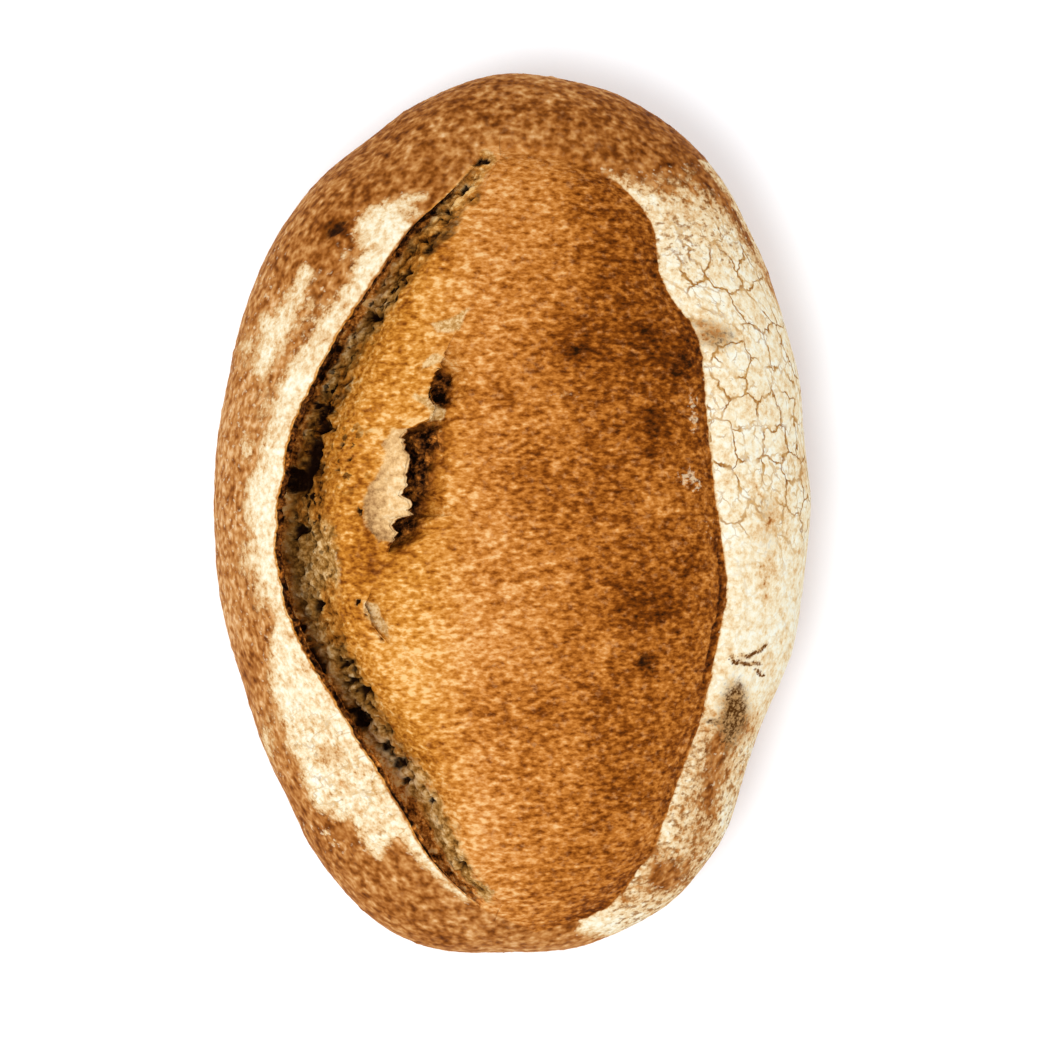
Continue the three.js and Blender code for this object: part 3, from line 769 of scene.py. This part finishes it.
def dust(s):
    """The flour, its cracks and specks, and soot."""
    left_skin, right_side = s.strip("left_skin"), np.maximum(s.on_top, s.strip("foot_right"))
    fading = lerp(2.4, 5.5, smoothstep(s.py, 80, 96))
    flour = np.maximum.reduce([
        0.88 * area(LIP_FLOUR, s.px, s.py, 2.6) * left_skin,
        0.8 * area(STRIP_FLOUR, s.px, s.py, 2.4) * left_skin,
        area(SIDE_FLOUR, s.px, s.py, fading) * (1 - s.belly) * right_side,
        0.7 * area(RIM_FLOUR, s.px, s.py, 0.9) * right_side,
    ])
    skins = np.maximum(1 - s.belly, s.across(10, 14))
    flour = (flour + patches(MORE_OR_LESS_FLOUR, s.px, s.py) * skins) * s.upper
    below = smoothstep(s.z, 6, 30) * smoothstep(s.x, 20, 75) * smoothstep(s.y, 105, 70)
    flour += 0.8 * below * (1 - s.upper)
    flour *= lerp(1, 0.82, s.along(-50, -62) * s.across(20, 50))
    flour += 0.13 * s.across(-58, -72) * (1 - flour)
    flour *= 1 - s.strip("crevice", "flap")
    s.flour = flour

    left = s.across(0, -20)
    s.crazed = smoothstep(flour, 0.45, 0.85) * s.across(30, 55)
    s.crazed *= lerp(0.25, 1, s.along(-25, 8)) * lerp(0.5, 1, s.along(90, 76))
    s.crazed += 0.5 * smoothstep(flour, 0.45, 0.8) * s.along(-50, -68) * left
    s.speckled = lerp(0.35, 1, s.along(68, 84) * s.across(20, 50))
    s.speckled += 0.2 * s.along(-50, -70) * left + 0.9 * s.along(-60, -74) * s.across(20, 40)
    thin = smoothstep(flour, 0.03, 0.15) * (1 - smoothstep(flour, 0.4, 0.6))
    s.flecks = (patches(FLECKS, s.px, s.py) + 0.5 * thin) * s.upper
    s.crack = np.maximum.reduce([
        bell(distance_to(np.array(line, float), s.px, s.py), 0.95) for line in CRACKS
    ])
    s.soot = patches(SOOT, s.px, s.py) * s.upper
    s.soot *= np.maximum(1 - s.belly, s.strip("belly", "flap"))


def tear_crevice(s):
    """The crevice's torn crumb, the holes in it and its brown wall below the lip."""
    sy, crumb, profile = s.sy, s.crumb, s.profile
    far = np.clip((s.from_lip - s.start) / np.maximum(s.stop - s.start, 0.001), 0, 1)
    right_of_lip = s.strip("crevice", "flap", "belly")
    in_slash = right_of_lip * (sy < SLASH["head"]) * (sy > SLASH["tail"])
    in_crevice = s.strip("crevice") * smoothstep(s.opened, 0.1, 0.35)
    under_ear = in_crevice * (1 - smoothstep(profile, 5.4, 7))
    beyond_start = smoothstep(s.from_lip + 1.2 * crumb - s.start, -1.2, 1.2)
    beyond_stop = smoothstep(s.from_lip + 2 * s.lumps + 2.4 * crumb - s.stop, -3.2, 2.2)
    grey = beyond_start * (1 - beyond_stop) * in_slash * (1 - under_ear)

    s.wall = s.torn * smoothstep(profile, 0, 0.15) * (1 - beyond_start * (1 - under_ear))
    # The wall is painted lighter deeper under the ear and towards the tail, to make up for the shade
    # there (painted light), and darker in a thin line just under the lip near the head and along the
    # lip's edge towards the tail (painted shade)
    tone = lerp(0.34, 0.72, smoothstep(profile, 1, 2)) - 0.24 * bell(sy - 46, 12)
    tone += 0.18 * bell(sy - 68, 10) + 0.12 * s.along(-88, -100)
    tone -= 0.28 * s.along(84, 92) + 0.25 * s.along(-80, -95)
    tone -= 0.5 * bell(profile - 0.2, 0.4) * s.along(-60, -80)
    tone += 0.3 * s.along(-55, -80) + 0.8 * crumb + 0.4 * s.grit
    s.wall_tone = 0.8 * tone - 0.3 * bell(s.from_lip - 1, 1) * s.along(74, 86)
    # Notches in the wall near the lip, painted dark as the shade in them
    s.notch = smoothstep(crumb + 0.6 * s.grit, 0.12, 0.4) * s.wall
    s.notch *= (1 - smoothstep(profile, 1, 3)) * s.along(-80, -60)

    golden = lerp(0.4, 1, smoothstep(far, 0.2, 0.8)) * (1 - 0.85 * bell(sy + 13, 12))
    at_ends = 0.3 + 0.25 * s.along(60, 76)
    s.golden = lerp(at_ends, golden, s.along(50, 34) * s.along(-46, -34))
    s.loose = s.along(-25, -45) * s.along(-90, -75)
    # Near the lip the crumb is painted lighter, to make up for the ear's shade there (painted light)
    grey_tone = lerp(s.near_tone, s.far_tone, far) + 0.6 * crumb
    grey_tone += lerp(0.1, 0.5, s.loose) * s.strands

    # The holes are painted dark as the shade in them, except where the ear hides them, and the crumb
    # round some of them is painted darker and greyer, as a soft painted shade
    hidden = in_crevice * (1 - smoothstep(profile, 4.8, 5.8))
    s.hole = smoothstep(holes(s.hx, s.hy), 0.15, 0.6) * right_of_lip * (1 - hidden)
    hole_shade = smoothstep(holes(s.px, s.py, wider=2), 0.2, 0.8) * in_slash * (1 - under_ear)
    s.grey_tone = grey_tone - 0.25 * hole_shade * s.along(-10, 30) * s.along(95, 75)
    hole_shade *= s.along(60, 80)
    honeycomb = patches([HONEYCOMB], s.sx, sy) * in_slash
    s.pitted = np.maximum(grey * lerp(0.45, 1, s.along(-20, 5)), honeycomb)
    s.grey = np.maximum(grey, 0.75 * hole_shade)
    # Gaps between the crumb's strands, painted dark as the shade in them
    gaps = smoothstep(0.3 * s.loose - s.strands - 0.5 * crumb, 0.35, 0.6)
    s.gaps = gaps * s.grey * (1 - hole_shade)


def tear_belly(s):
    """The second tear's bare crumb, the painted shadow in its pocket and slit, and grey smears on
    the belly.
    """
    profile = s.profile_in("pocket", len(POCKET) + len(POCKET_FLOOR))
    on_flap, in_pocket = s.strip("flap"), s.strip("pocket")
    left_edge = lerp(1.8, 0.5, s.across(-42, -36))
    s.pale = area(BARE_CRUMB, s.px, s.py, left_edge) * (1 - 0.35 * s.along(10, 24))
    s.pale *= np.maximum(on_flap, in_pocket * (1 - smoothstep(profile, 0.5, 0.9)))
    s.pale_tone = 0.34 + 0.38 * s.across(-44, -36)
    s.pale_tone -= 0.22 * s.along(12, 22) + 0.35 * s.along(-3, -8)

    # The insides of the pocket and the slit are painted dark, as painted shadow, lighter away from
    # the crumb
    s.inner = area(POCKET_SHADOW, s.hx, s.hy, 2.4) * s.strip("pocket", "belly")
    s.inner = np.maximum(s.inner, area(SLIT_SHADOW, s.hx, s.hy, 1) * s.by_tear)
    s.inner *= np.where(in_pocket > 0, smoothstep(profile, 0.4, 1), 1)
    tone = 0.2 + 0.65 * s.crumb + 0.4 * s.grit + 0.16 * s.across(-31, -23)
    tone -= 0.3 * area(SLIT_SHADOW, s.hx, s.hy, 1.6)
    s.wall_tone = np.where(s.inner > s.wall, tone, s.wall_tone)
    s.wall = np.maximum(s.wall, s.inner)

    s.smear = sum(area(corners, s.px, s.py, 0.8) for corners in SMEARS) * s.by_tear
    rim = (area(BARE_CRUMB, s.px, s.py, 2.6) - s.pale) * on_flap * s.across(-33, -38)
    own_tone = lerp(0.88, 0.42, rim > s.smear)
    s.grey_tone = np.where(s.smear + rim > s.grey, own_tone, s.grey_tone)
    s.grey = np.clip(np.maximum(s.grey, 0.9 * s.smear) + rim, 0, 1)
    s.golden = s.golden * (1 - np.clip(s.smear, 0, 1))


def darken(s):
    """Everything that is nearly black, and the foot: painted shade in holes, gaps and notches,
    charred scabs and dark dashes.
    """
    spots = patches([[cx, cy, r, r, 1] for cx, cy, r in SCABS], s.hx, s.hy)
    s.scab = smoothstep(spots, 0.3, 0.8) * s.upper
    strokes = grain(s.x, s.y, s.z, (3.6, 1, 2), 97) + 0.25 * s.wide
    s.dashes = smoothstep(strokes, 0.62, 0.85) * s.belly * (1 - s.torn) * s.strip("belly", "flap")
    # Holes, gaps and notches are painted shade; scabs are char and dashes dark marks on the crust
    dark = s.hole + 0.8 * s.gaps + 0.8 * s.notch + 0.75 * s.scab + 0.4 * s.dashes
    s.dark = np.clip(dark, 0, 1)
    s.foot = smoothstep(s.z, 3, 0.3) * (1 - s.on_top)


def relief_of(s):
    """How far each point is pushed out, in mm."""
    away, own = scattered(s.x, s.y, s.z, 5.5, 98)
    blister = smoothstep(own, 0.55, 0.75) * bell(away, 1.3) * (1 - s.belly)
    dusted = smoothstep(s.flour, 0.4, 0.8)
    skin = (0.16 * s.grit + 0.22 * s.lumps + 0.3 * blister) * lerp(1, 0.6, dusted)
    stretched = (1 - s.torn) * (0.13 * s.streak + 0.22 * s.ripple + 0.05 * s.grit)
    relief = lerp(skin, stretched, s.belly) + 0.12 * dusted

    ragged = 0.6 * (s.crumb + s.grit)
    crumbly = lerp(lerp(0.7, 0.4, s.along(15, 40)), 0.2, s.along(-25, -45)) * s.clods
    stringy = lerp(0.2, 0.35, s.loose) * s.strands * smoothstep(s.profile, 5, 6.5)
    relief += s.torn * smoothstep(s.profile, 2.5, 4.5) * (crumbly + stringy)
    relief += s.torn * smoothstep(s.profile, 0, 0.8) * ragged
    relief += (s.pale + s.smear + s.inner) * ragged - 0.5 * s.pale
    relief -= 2 * s.hole + 0.6 * s.notch + 0.8 * s.gaps + 0.3 * s.dashes + 0.6 * s.scab
    relief -= 0.4 * s.double + 1.4 * area(SLIT_SHADOW, s.hx, s.hy, 2.4) * s.by_tear
    return relief * smoothstep(s.z, 0.4, 5)


# The fields that the crust's material reads
AMOUNTS = [
    "toast", "belly", "gold", "flank", "foot", "flour", "crazed", "crack", "speckled", "flecks",
    "soot", "grey", "grey_tone", "golden", "pitted", "wall", "wall_tone", "pale", "pale_tone",
    "dark",
]


# ---- The mesh --------------------------------------------------------
def faces_of(stations, around):
    """The row and the column of every face's corners: first the grid's quads, then the triangles
    round its tips, which are rows of their own, half a column on."""
    column, row = np.meshgrid(np.arange(around), np.arange(stations - 1))
    here = np.arange(around)
    corners_of = [
        [(row, column), (row, column + 1), (row + 1, column + 1), (row + 1, column)],
        [(-1, here + 0.5), (0, here + 1), (0, here)],
        [(stations, here + 0.5), (stations - 1, here), (stations - 1, here + 1)],
    ]
    faces = [np.array([np.broadcast_arrays(*n) for n in corners]) for corners in corners_of]
    return np.concatenate([np.moveaxis(n, 0, -1).reshape(2, -1) for n in faces], axis=1)


def build_loaf():
    x, y, z, parts, opened = sweep()
    surface = Surface(*knead(x, y, z), parts, opened)
    for step in (find_belly, bake, dust, tear_crevice, tear_belly, darken):
        step(surface)
    x, y, z = surface.x, surface.y, surface.z
    x, y, z = np.stack([x, y, z]) + normals_of(x, y, z) * relief_of(surface)
    z = np.maximum(z, 0)

    stations, around = x.shape
    row, column = faces_of(stations, around)
    on_grid = row * around + column % around
    corners = np.select([row < 0, row == stations], [x.size, x.size + 1], on_grid)
    sizes = np.repeat([4, 3], [(stations - 1) * around, 2 * around])
    tips = [[spine_x(end * HALF), end * HALF, GIRTH_HEIGHT] for end in (-1, 1)]
    points = np.concatenate([np.stack([x, y, z], axis=-1).reshape(-1, 3), tips]) * MM
    mesh = bpy.data.meshes.new("crusty_loaf")
    mesh.vertices.add(len(points))
    mesh.vertices.foreach_set("co", points.ravel())
    mesh.loops.add(len(corners))
    mesh.loops.foreach_set("vertex_index", corners.astype(np.int32))
    mesh.polygons.add(len(sizes))
    mesh.polygons.foreach_set("loop_start", running(sizes)[:-1])
    mesh.polygons.foreach_set("use_smooth", np.ones(len(sizes), bool))
    mesh.update(calc_edges=True)

    # A texture map of its own: round the loaf, and along it
    width = np.hypot(*(np.diff(n, axis=1, append=n[:, :1]) for n in (x, z)))
    step = np.sqrt(sum(np.diff(n, axis=0) ** 2 for n in (x, y, z))).mean(axis=1)
    u = running(width.mean(axis=0)) / width.mean(axis=0).sum()
    v = [0, *lerp(MAP_MARGIN, 1 - MAP_MARGIN, running(step) / step.sum()), 1]
    u, v = np.interp(column, range(around + 1), u), np.interp(row, range(-1, stations + 1), v)
    mesh.uv_layers.new(name="OFBake").data.foreach_set("uv", np.stack([u, v], axis=-1).ravel())

    # The surface rolled out flat from the belly's far edge, for the flour's cracks
    rolled = np.cumsum(width, axis=1)
    rolled -= rolled[:, parts["right_skin"].start][:, None]
    flat = np.zeros((len(points), 3), np.float32)
    flat[: x.size, 0], flat[: x.size, 1] = rolled.ravel(), y.ravel()
    attribute = mesh.attributes.new("laid_flat", "FLOAT_VECTOR", "POINT")
    attribute.data.foreach_set("vector", flat.ravel())
    for name in AMOUNTS:
        values = getattr(surface, name)
        at_tips = [values[0].mean(), values[-1].mean()]
        attribute = mesh.attributes.new(name, "FLOAT", "POINT")
        attribute.data.foreach_set("value", np.append(values, at_tips).astype(np.float32))
    return add_to_scene("crusty_loaf", mesh)


# ---- The material ----------------------------------------------------
LIT = 1.37  # how bright white is where the light falls on it squarely


def colour(red, green, blue):
    """A colour as the lit surface shows it, 0 to 255, as the surface's own linear colour."""
    seen = np.array([red, green, blue]) / 255
    linear = np.where(seen <= 0.04045, seen / 12.92, ((seen + 0.055) / 1.055) ** 2.4)
    return (*np.clip(linear / LIT, 0, 1), 1)


class Graph:
    """A material's nodes, with a short call for each kind that is used here. Where a call takes
    a value, that is a number, a node's output or the name of one of the mesh's AMOUNTS."""

    def __init__(self, name):
        self.material = bpy.data.materials.new(name)
        self.material.use_nodes = True
        self.tree = self.material.node_tree
        self.shader = self.tree.nodes["Principled BSDF"]
        self.place = self.node("ShaderNodeTexCoord").outputs["Object"]

    def node(self, kind, **settings):
        node = self.tree.nodes.new(kind)
        for name, value in settings.items():
            setattr(node, name, value)
        return node

    def put(self, socket, value):
        if isinstance(value, str):
            value = self.node("ShaderNodeAttribute", attribute_name=value).outputs["Fac"]
        if isinstance(value, bpy.types.NodeSocket):
            self.tree.links.new(value, socket)
        else:
            socket.default_value = value

    def made(self, kind, inputs, **settings):
        """The first output of a new node with these inputs, by name or in order."""
        node = self.node(kind, **settings)
        for key, value in inputs.items() if isinstance(inputs, dict) else enumerate(inputs):
            self.put(node.inputs[key], value)
        return node.outputs[0]

    def math(self, operation, *values):
        return self.made("ShaderNodeMath", values, operation=operation)

    def times(self, *values):
        return functools.reduce(lambda a, b: self.math("MULTIPLY", a, b), values)

    def most(self, a, b):
        return self.math("MAXIMUM", a, b)

    def total(self, *terms, offset=0.0):
        """The sum of (value, weight) terms."""
        for value, weight in terms:
            offset = self.math("MULTIPLY_ADD", value, weight, offset)
        return offset

    def step(self, value, low, high):
        inputs = {"Value": value, "From Min": low, "From Max": high}
        return self.made("ShaderNodeMapRange", inputs, interpolation_type="SMOOTHSTEP")

    def noise(self, size, detail=2.0, rough=0.55):
        """Noise from -1 to 1, about; size in mm, one number or one for each axis."""
        scale = tuple(1 / (np.broadcast_to(np.asarray(size, float), 3) * MM))
        place = self.made("ShaderNodeMapping", {"Vector": self.place, "Scale": scale})
        inputs = {"Vector": place, "Scale": 1.0, "Detail": detail, "Roughness": rough}
        return self.total((self.made("ShaderNodeTexNoise", inputs), 2.0), offset=-1.0)

    def shifted(self, place, by, reach):
        """A place moved by `reach` times a value."""
        inputs = (by, (reach,) * 3, place)
        return self.made("ShaderNodeVectorMath", inputs, operation="MULTIPLY_ADD")

    def seams(self, place, size, bend, reach):
        """Distance, in mm, to the borders of flat cells of a given size, bent by noise."""
        noise = self.node("ShaderNodeTexNoise", noise_dimensions="2D")
        self.put(noise.inputs["Vector"], place)
        self.put(noise.inputs["Scale"], 1 / bend)
        bent = self.shifted(place, noise.outputs["Color"], 2 * reach)
        flat = {"voronoi_dimensions": "2D", "feature": "DISTANCE_TO_EDGE"}
        inputs = {"Vector": bent, "Scale": 1 / size}
        return self.times(self.made("ShaderNodeTexVoronoi", inputs, **flat), float(size))

    def pits(self, size, warp, reach):
        """Distance, as a share of the size, to scattered points, bent by noise."""
        bent = self.shifted(self.place, warp, reach * MM)
        inputs = {"Vector": bent, "Scale": 1 / (size * MM)}
        return self.made("ShaderNodeTexVoronoi", inputs, feature="F1")

    def mix(self, share, a, b):
        node = self.node("ShaderNodeMix", data_type="RGBA")
        for place, value in ((0, share), (6, a), (7, b)):
            self.put(node.inputs[place], value)
        return node.outputs[2]

    def ramp(self, share, stops):
        """The colour at a share, between (share, colour) stops."""
        node = self.node("ShaderNodeValToRGB")
        self.put(node.inputs["Fac"], share)
        elements = node.color_ramp.elements
        for element, (position, shade) in zip(elements, (stops[0], stops[-1])):
            element.position, element.color = position, colour(*shade)
        for position, shade in stops[1:-1]:
            elements.new(position).color = colour(*shade)
        return node.outputs["Color"]


BELLY_SHADES = [
    (0.0, (242, 194, 132)), (0.1, (232, 171, 104)), (0.2, (219, 148, 77)), (0.3, (202, 127, 52)),
    (0.4, (183, 108, 37)), (0.5, (160, 90, 25)), (0.6, (136, 70, 13)), (0.7, (113, 55, 7)),
    (0.85, (84, 38, 5)), (1.0, (46, 21, 3)),
]
GOLD_SHADES = [
    (0.0, (246, 200, 133)), (0.1, (234, 172, 94)), (0.2, (219, 149, 64)), (0.3, (202, 129, 42)),
    (0.4, (182, 110, 31)), (0.5, (159, 91, 22)), (0.6, (135, 71, 13)), (0.7, (113, 55, 7)),
    (0.85, (84, 38, 5)), (1.0, (46, 21, 3)),
]
SKIN_SHADES = [
    (0.0, (236, 192, 140)), (0.1, (224, 170, 113)), (0.2, (210, 150, 88)), (0.3, (194, 130, 67)),
    (0.4, (177, 110, 49)), (0.5, (157, 91, 33)), (0.6, (135, 73, 19)), (0.75, (108, 53, 9)),
    (1.0, (54, 25, 4)),
]
HAZE_SHADE = (228, 174, 118)
FLOUR_SHADES = [
    (0.15, (194, 138, 78)), (0.32, (220, 174, 118)), (0.48, (237, 204, 156)),
    (0.65, (249, 229, 189)), (0.8, (255, 244, 214)), (1.0, (255, 254, 236)),
]
CRACK_SHADES = [(0.2, (214, 168, 102)), (0.5, (168, 114, 52)), (0.8, (98, 56, 18))]
SPECK_SHADE = (158, 106, 54)
SOOT_SHADE = (86, 50, 14)
SMUDGE_SHADE = (188, 144, 90)
FLECK_SHADE = (250, 226, 184)
CRUMB_SHADES = [
    (0.0, (24, 11, 5)), (0.2, (74, 44, 16)), (0.4, (124, 81, 29)), (0.6, (165, 115, 51)),
    (0.8, (204, 156, 92)), (1.0, (240, 203, 148)),
]
# The wall's light end serves where it is painted lighter under the ear (painted light)
WALL_SHADES = [
    (0.0, (18, 8, 3)), (0.2, (68, 34, 12)), (0.4, (122, 69, 24)), (0.6, (184, 108, 38)),
    (0.8, (236, 154, 68)), (1.0, (255, 205, 130)),
]
PALE_SHADES = [
    (0.0, (124, 86, 48)), (0.3, (188, 142, 90)), (0.65, (236, 192, 132)), (1.0, (254, 228, 182)),
]
GOLDEN_CRUMB_SHADES = [
    (0.0, (26, 10, 3)), (0.2, (84, 44, 10)), (0.4, (140, 82, 22)), (0.6, (184, 114, 38)),
    (0.8, (216, 152, 72)), (1.0, (242, 196, 126)),
]
# For painted shade in holes, pits, gaps and notches, and for char and dark dashes
DARK_SHADE = (28, 13, 6)
FOOT_SHADES = [(0.0, (120, 76, 40)), (0.5, (168, 116, 68)), (1.0, (214, 176, 126))]
CRUST_ROUGHNESS, DUSTED_ROUGHNESS, SPECULAR = 0.6, 0.95, 0.015
BUMP_STRENGTH, BUMP_DEPTH = 0.8, 0.35


def crust_material():
    """The whole surface in one material. Its bare numbers are noise sizes in mm, with their detail
    and roughness, weights, and the limits of soft steps."""
    g = Graph("crust")
    streaks = g.noise((2.4, 1.4, 1.9), 2.0, 0.5)
    threads = g.noise((1.5, 0.7, 1.0), 2.0, 0.6)
    swathes = g.noise((5.5, 3.5, 5.0), 2.0, 0.5)
    mottle = g.noise((2.7, 2.8, 2.4), 1.5, 0.5)
    powdery = g.noise(2.1, 3.0, 0.6)
    dust = g.noise(0.9, 2.0, 0.6)
    blotch = g.noise(7.0, 2.0, 0.5)
    veins = g.noise((3.4, 1.3, 2.2), 3.0, 0.65)
    seeds = g.noise((2.2, 1.5, 1.7), 2.0)
    fibre = g.noise((3.0, 1.7, 2.2), 3.0, 0.55)

    # Crust: its toast, with streaks along the stretched belly and mottling on the skins
    on_belly = g.total((streaks, 0.6), (threads, 0.2), (swathes, 0.18))
    on_skin = g.total((mottle, 0.68), (powdery, 0.26), (blotch, 0.12))
    fine = g.total((g.math("SUBTRACT", on_belly, on_skin), "belly"), offset=on_skin)
    fine = g.times(fine, g.total(("flank", -0.3), offset=1.0))
    toast = g.total(("toast", 1.0), (fine, 1.0))
    stretched = g.mix("gold", g.ramp(toast, BELLY_SHADES), g.ramp(toast, GOLD_SHADES))
    crust = g.mix("belly", g.ramp(toast, SKIN_SHADES), stretched)
    haze = g.times(g.step(powdery, 0.05, 0.5), g.step(toast, 0.85, 0.3))
    haze = g.times(haze, g.total(("gold", -0.22), offset=0.38))
    crust = g.mix(haze, crust, colour(*HAZE_SHADE))

    # Flour, which thins out to tan and breaks up into grains where it is worn
    worn = g.most(g.times("flour", g.math("SUBTRACT", 1.15, "flour")), 0.0)
    grains = g.total((powdery, 0.52), (dust, 0.2), (blotch, 0.32))
    grains = g.times(grains, g.total((worn, 2.2), offset=0.75))
    depth = g.times("flour", g.total((grains, 1.0), offset=1.0))
    depth = g.total((g.times(grains, g.step("flour", 0.05, 0.4)), 0.4), (depth, 0.8))
    cover = g.step(depth, 0.12, 0.42)
    powder = g.ramp(g.times(depth, 0.92), FLOUR_SHADES)

    # Its cracks: wide and fine seams between flakes, veins, and those drawn one by one
    flat = g.node("ShaderNodeAttribute", attribute_name="laid_flat").outputs["Vector"]
    wide = g.step(g.total((g.seams(flat, 10.0, 4.0, 2.4), 1.0), (powdery, 0.5)), 0.72, 0.2)
    wide = g.times(wide, g.step(g.noise(9.0, 1.0), -0.5, 0.1))
    narrow = g.step(g.total((g.seams(flat, 4.6, 2.5, 1.4), 1.0), (powdery, 0.4)), 0.55, 0.1)
    narrow = g.times(narrow, g.step(blotch, -0.15, 0.25), 0.6)
    seams = g.most(g.most(wide, narrow), g.times(g.step(veins, 0.28, 0.5), 0.75))
    drawn = g.step(g.total(("crack", 1.0), (powdery, 0.7), (dust, 0.6)), 0.4, 1.0)
    drawn = g.times(drawn, g.step("crack", 0.02, 0.2))
    cracks = g.most(g.times(seams, "crazed"), drawn)
    split = g.total((cracks, 0.35), (drawn, 0.2), (powdery, 0.5), (dust, 0.3), offset=0.12)
    powder = g.mix(cracks, powder, g.ramp(split, CRACK_SHADES))

    # Brown specks in the flour, flecks of it on the crust, and soot over both
    specks = g.total((seeds, 1.0), ("speckled", 0.28), (powdery, -0.25))
    specks = g.times(g.step(specks, 0.32, 0.68), g.step("speckled", 0.1, 0.9), 0.85)
    surface = g.mix(cover, crust, g.mix(specks, powder, colour(*SPECK_SHADE)))
    fleck = g.total((seeds, -1.0), (powdery, 0.4), ("flecks", 0.5))
    fleck = g.times(g.step(fleck, 0.4, 0.75), g.step("flecks", 0.05, 0.4), 0.6)
    surface = g.mix(fleck, surface, colour(*FLECK_SHADE))
    smudge = g.step(g.total(("soot", 1.0), (powdery, 0.5), (dust, 0.3)), 0.1, 1.5)
    smudge = g.times(smudge, g.step("soot", 0.02, 0.3), g.step("flour", 0.1, 0.4))
    surface = g.mix(smudge, surface, colour(*SMUDGE_SHADE))
    sooty = g.times(g.total((veins, 0.4), (powdery, 0.6), (dust, 0.8), offset=0.42), "soot")
    surface = g.mix(g.step(sooty, 0.1, 0.85), surface, colour(*SOOT_SHADE))

    # The foot, where it lay on the oven's floor
    base = g.ramp(g.total((blotch, 0.35), (mottle, 0.4), offset=0.42), FOOT_SHADES)
    surface = g.mix("foot", surface, base)

    # Torn crumb: the wall below the lip, painted lighter under the ear, with painted shadow in the
    # pocket and slit; grey or golden crumb; the bare crumb; and painted shade in its holes, pits and
    # gaps
    fray = g.total((powdery, 0.6), (dust, 0.35))

    def frayed(name, low, high):
        ragged = g.step(g.total((name, 1.0), (fray, 0.55)), low, high)
        return g.times(ragged, g.step(name, 0.02, 0.2))

    wall = g.total(("wall_tone", 1.0), (powdery, 0.7), (dust, 0.5))
    surface = g.mix("wall", surface, g.ramp(wall, WALL_SHADES))
    tone = g.total(("grey_tone", 1.0), (fibre, 0.5), (powdery, 0.3), (dust, 0.35))
    golden = g.step(g.total(("golden", 1.0), (blotch, 0.8), (powdery, 0.4)), 0.3, 0.75)
    torn = g.mix(golden, g.ramp(tone, CRUMB_SHADES), g.ramp(tone, GOLDEN_CRUMB_SHADES))
    surface = g.mix(frayed("grey", 0.1, 0.95), surface, torn)
    pale = g.total(("pale_tone", 1.0), (fibre, 0.35), (powdery, 0.55), (dust, 0.35))
    surface = g.mix(frayed("pale", 0.25, 0.75), surface, g.ramp(pale, PALE_SHADES))
    # Pits in the crumb, painted dark as the shade in them
    pit = g.step(g.total((g.pits(3.4, fibre, 2.0), 1.0), (blotch, 0.7)), 0.3, 0.12)
    pit = g.times(pit, "pitted")
    surface = g.mix(g.most(frayed("dark", 0.3, 1.05), pit), surface, colour(*DARK_SHADE))

    # Fine relief, below what the mesh holds
    height = g.total((fine, -0.45), (cover, 0.3), (cracks, -0.4), (fibre, 0.25), (pit, -1.5))
    height = g.total((g.times(cover, powdery), 0.7), (height, 1.0))
    inputs = {"Height": height, "Strength": BUMP_STRENGTH, "Distance": BUMP_DEPTH * MM}
    g.put(g.shader.inputs["Normal"], g.made("ShaderNodeBump", inputs))
    g.put(g.shader.inputs["Base Color"], surface)
    roughness = g.total((cover, DUSTED_ROUGHNESS - CRUST_ROUGHNESS), offset=CRUST_ROUGHNESS)
    g.put(g.shader.inputs["Roughness"], roughness)
    g.shader.inputs["Specular IOR Level"].default_value = SPECULAR
    return g.material


# ---- The camera and the studio ---------------------------------------
FLOOR_SHADE, FLOOR_ROUGHNESS = (0.94, 0.965, 1.0), 0.9
FLOOR_REACH = 4  # metres, as the lamp's place and size
KEY_PLACE, KEY_SIZE, KEY_POWER = (-0.45, -0.45, 1.9), 0.9, 18.4
SKY_STRENGTH = 1.08


def add_camera():
    data = bpy.data.cameras.new("camera")
    data.sensor_width = SENSOR
    data.lens = SENSOR * (CAMERA_HEIGHT - GIRTH_HEIGHT) / VIEW_WIDTH
    camera = add_to_scene("camera", data)
    camera.location = (CAMERA_OVER[0] * MM, CAMERA_OVER[1] * MM, CAMERA_HEIGHT * MM)
    bpy.context.scene.camera = camera


def add_floor():
    material = Graph("pale_floor")
    material.shader.inputs["Base Color"].default_value = (*FLOOR_SHADE, 1)
    material.shader.inputs["Roughness"].default_value = FLOOR_ROUGHNESS
    mesh = bpy.data.meshes.new("floor")
    turns = ((-1, -1), (1, -1), (1, 1), (-1, 1))
    corners = [(x * FLOOR_REACH, y * FLOOR_REACH, 0) for x, y in turns]
    mesh.from_pydata(corners, [], [(0, 1, 2, 3)])
    mesh.materials.append(material.material)
    return add_to_scene("floor", mesh)


def add_lamp():
    data = bpy.data.lights.new("key", "AREA")
    data.shape = "DISK"
    data.size = KEY_SIZE
    data.energy = KEY_POWER
    lamp = add_to_scene("key", data)
    lamp.location = KEY_PLACE
    aim = -lamp.location
    lamp.rotation_euler = aim.to_track_quat("-Z", "Y").to_euler()


def add_sky():
    world = bpy.data.worlds.new("studio")
    world.use_nodes = True
    background = world.node_tree.nodes["Background"]
    background.inputs["Color"].default_value = (1, 1, 1, 1)
    background.inputs["Strength"].default_value = SKY_STRENGTH
    bpy.context.scene.world = world


add_camera()
loaf = build_loaf()
loaf.data.materials.append(crust_material())
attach(loaf, "root")
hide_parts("loaf")

add_floor()
add_lamp()
add_sky()
bpy.context.scene.view_settings.view_transform = "Standard"
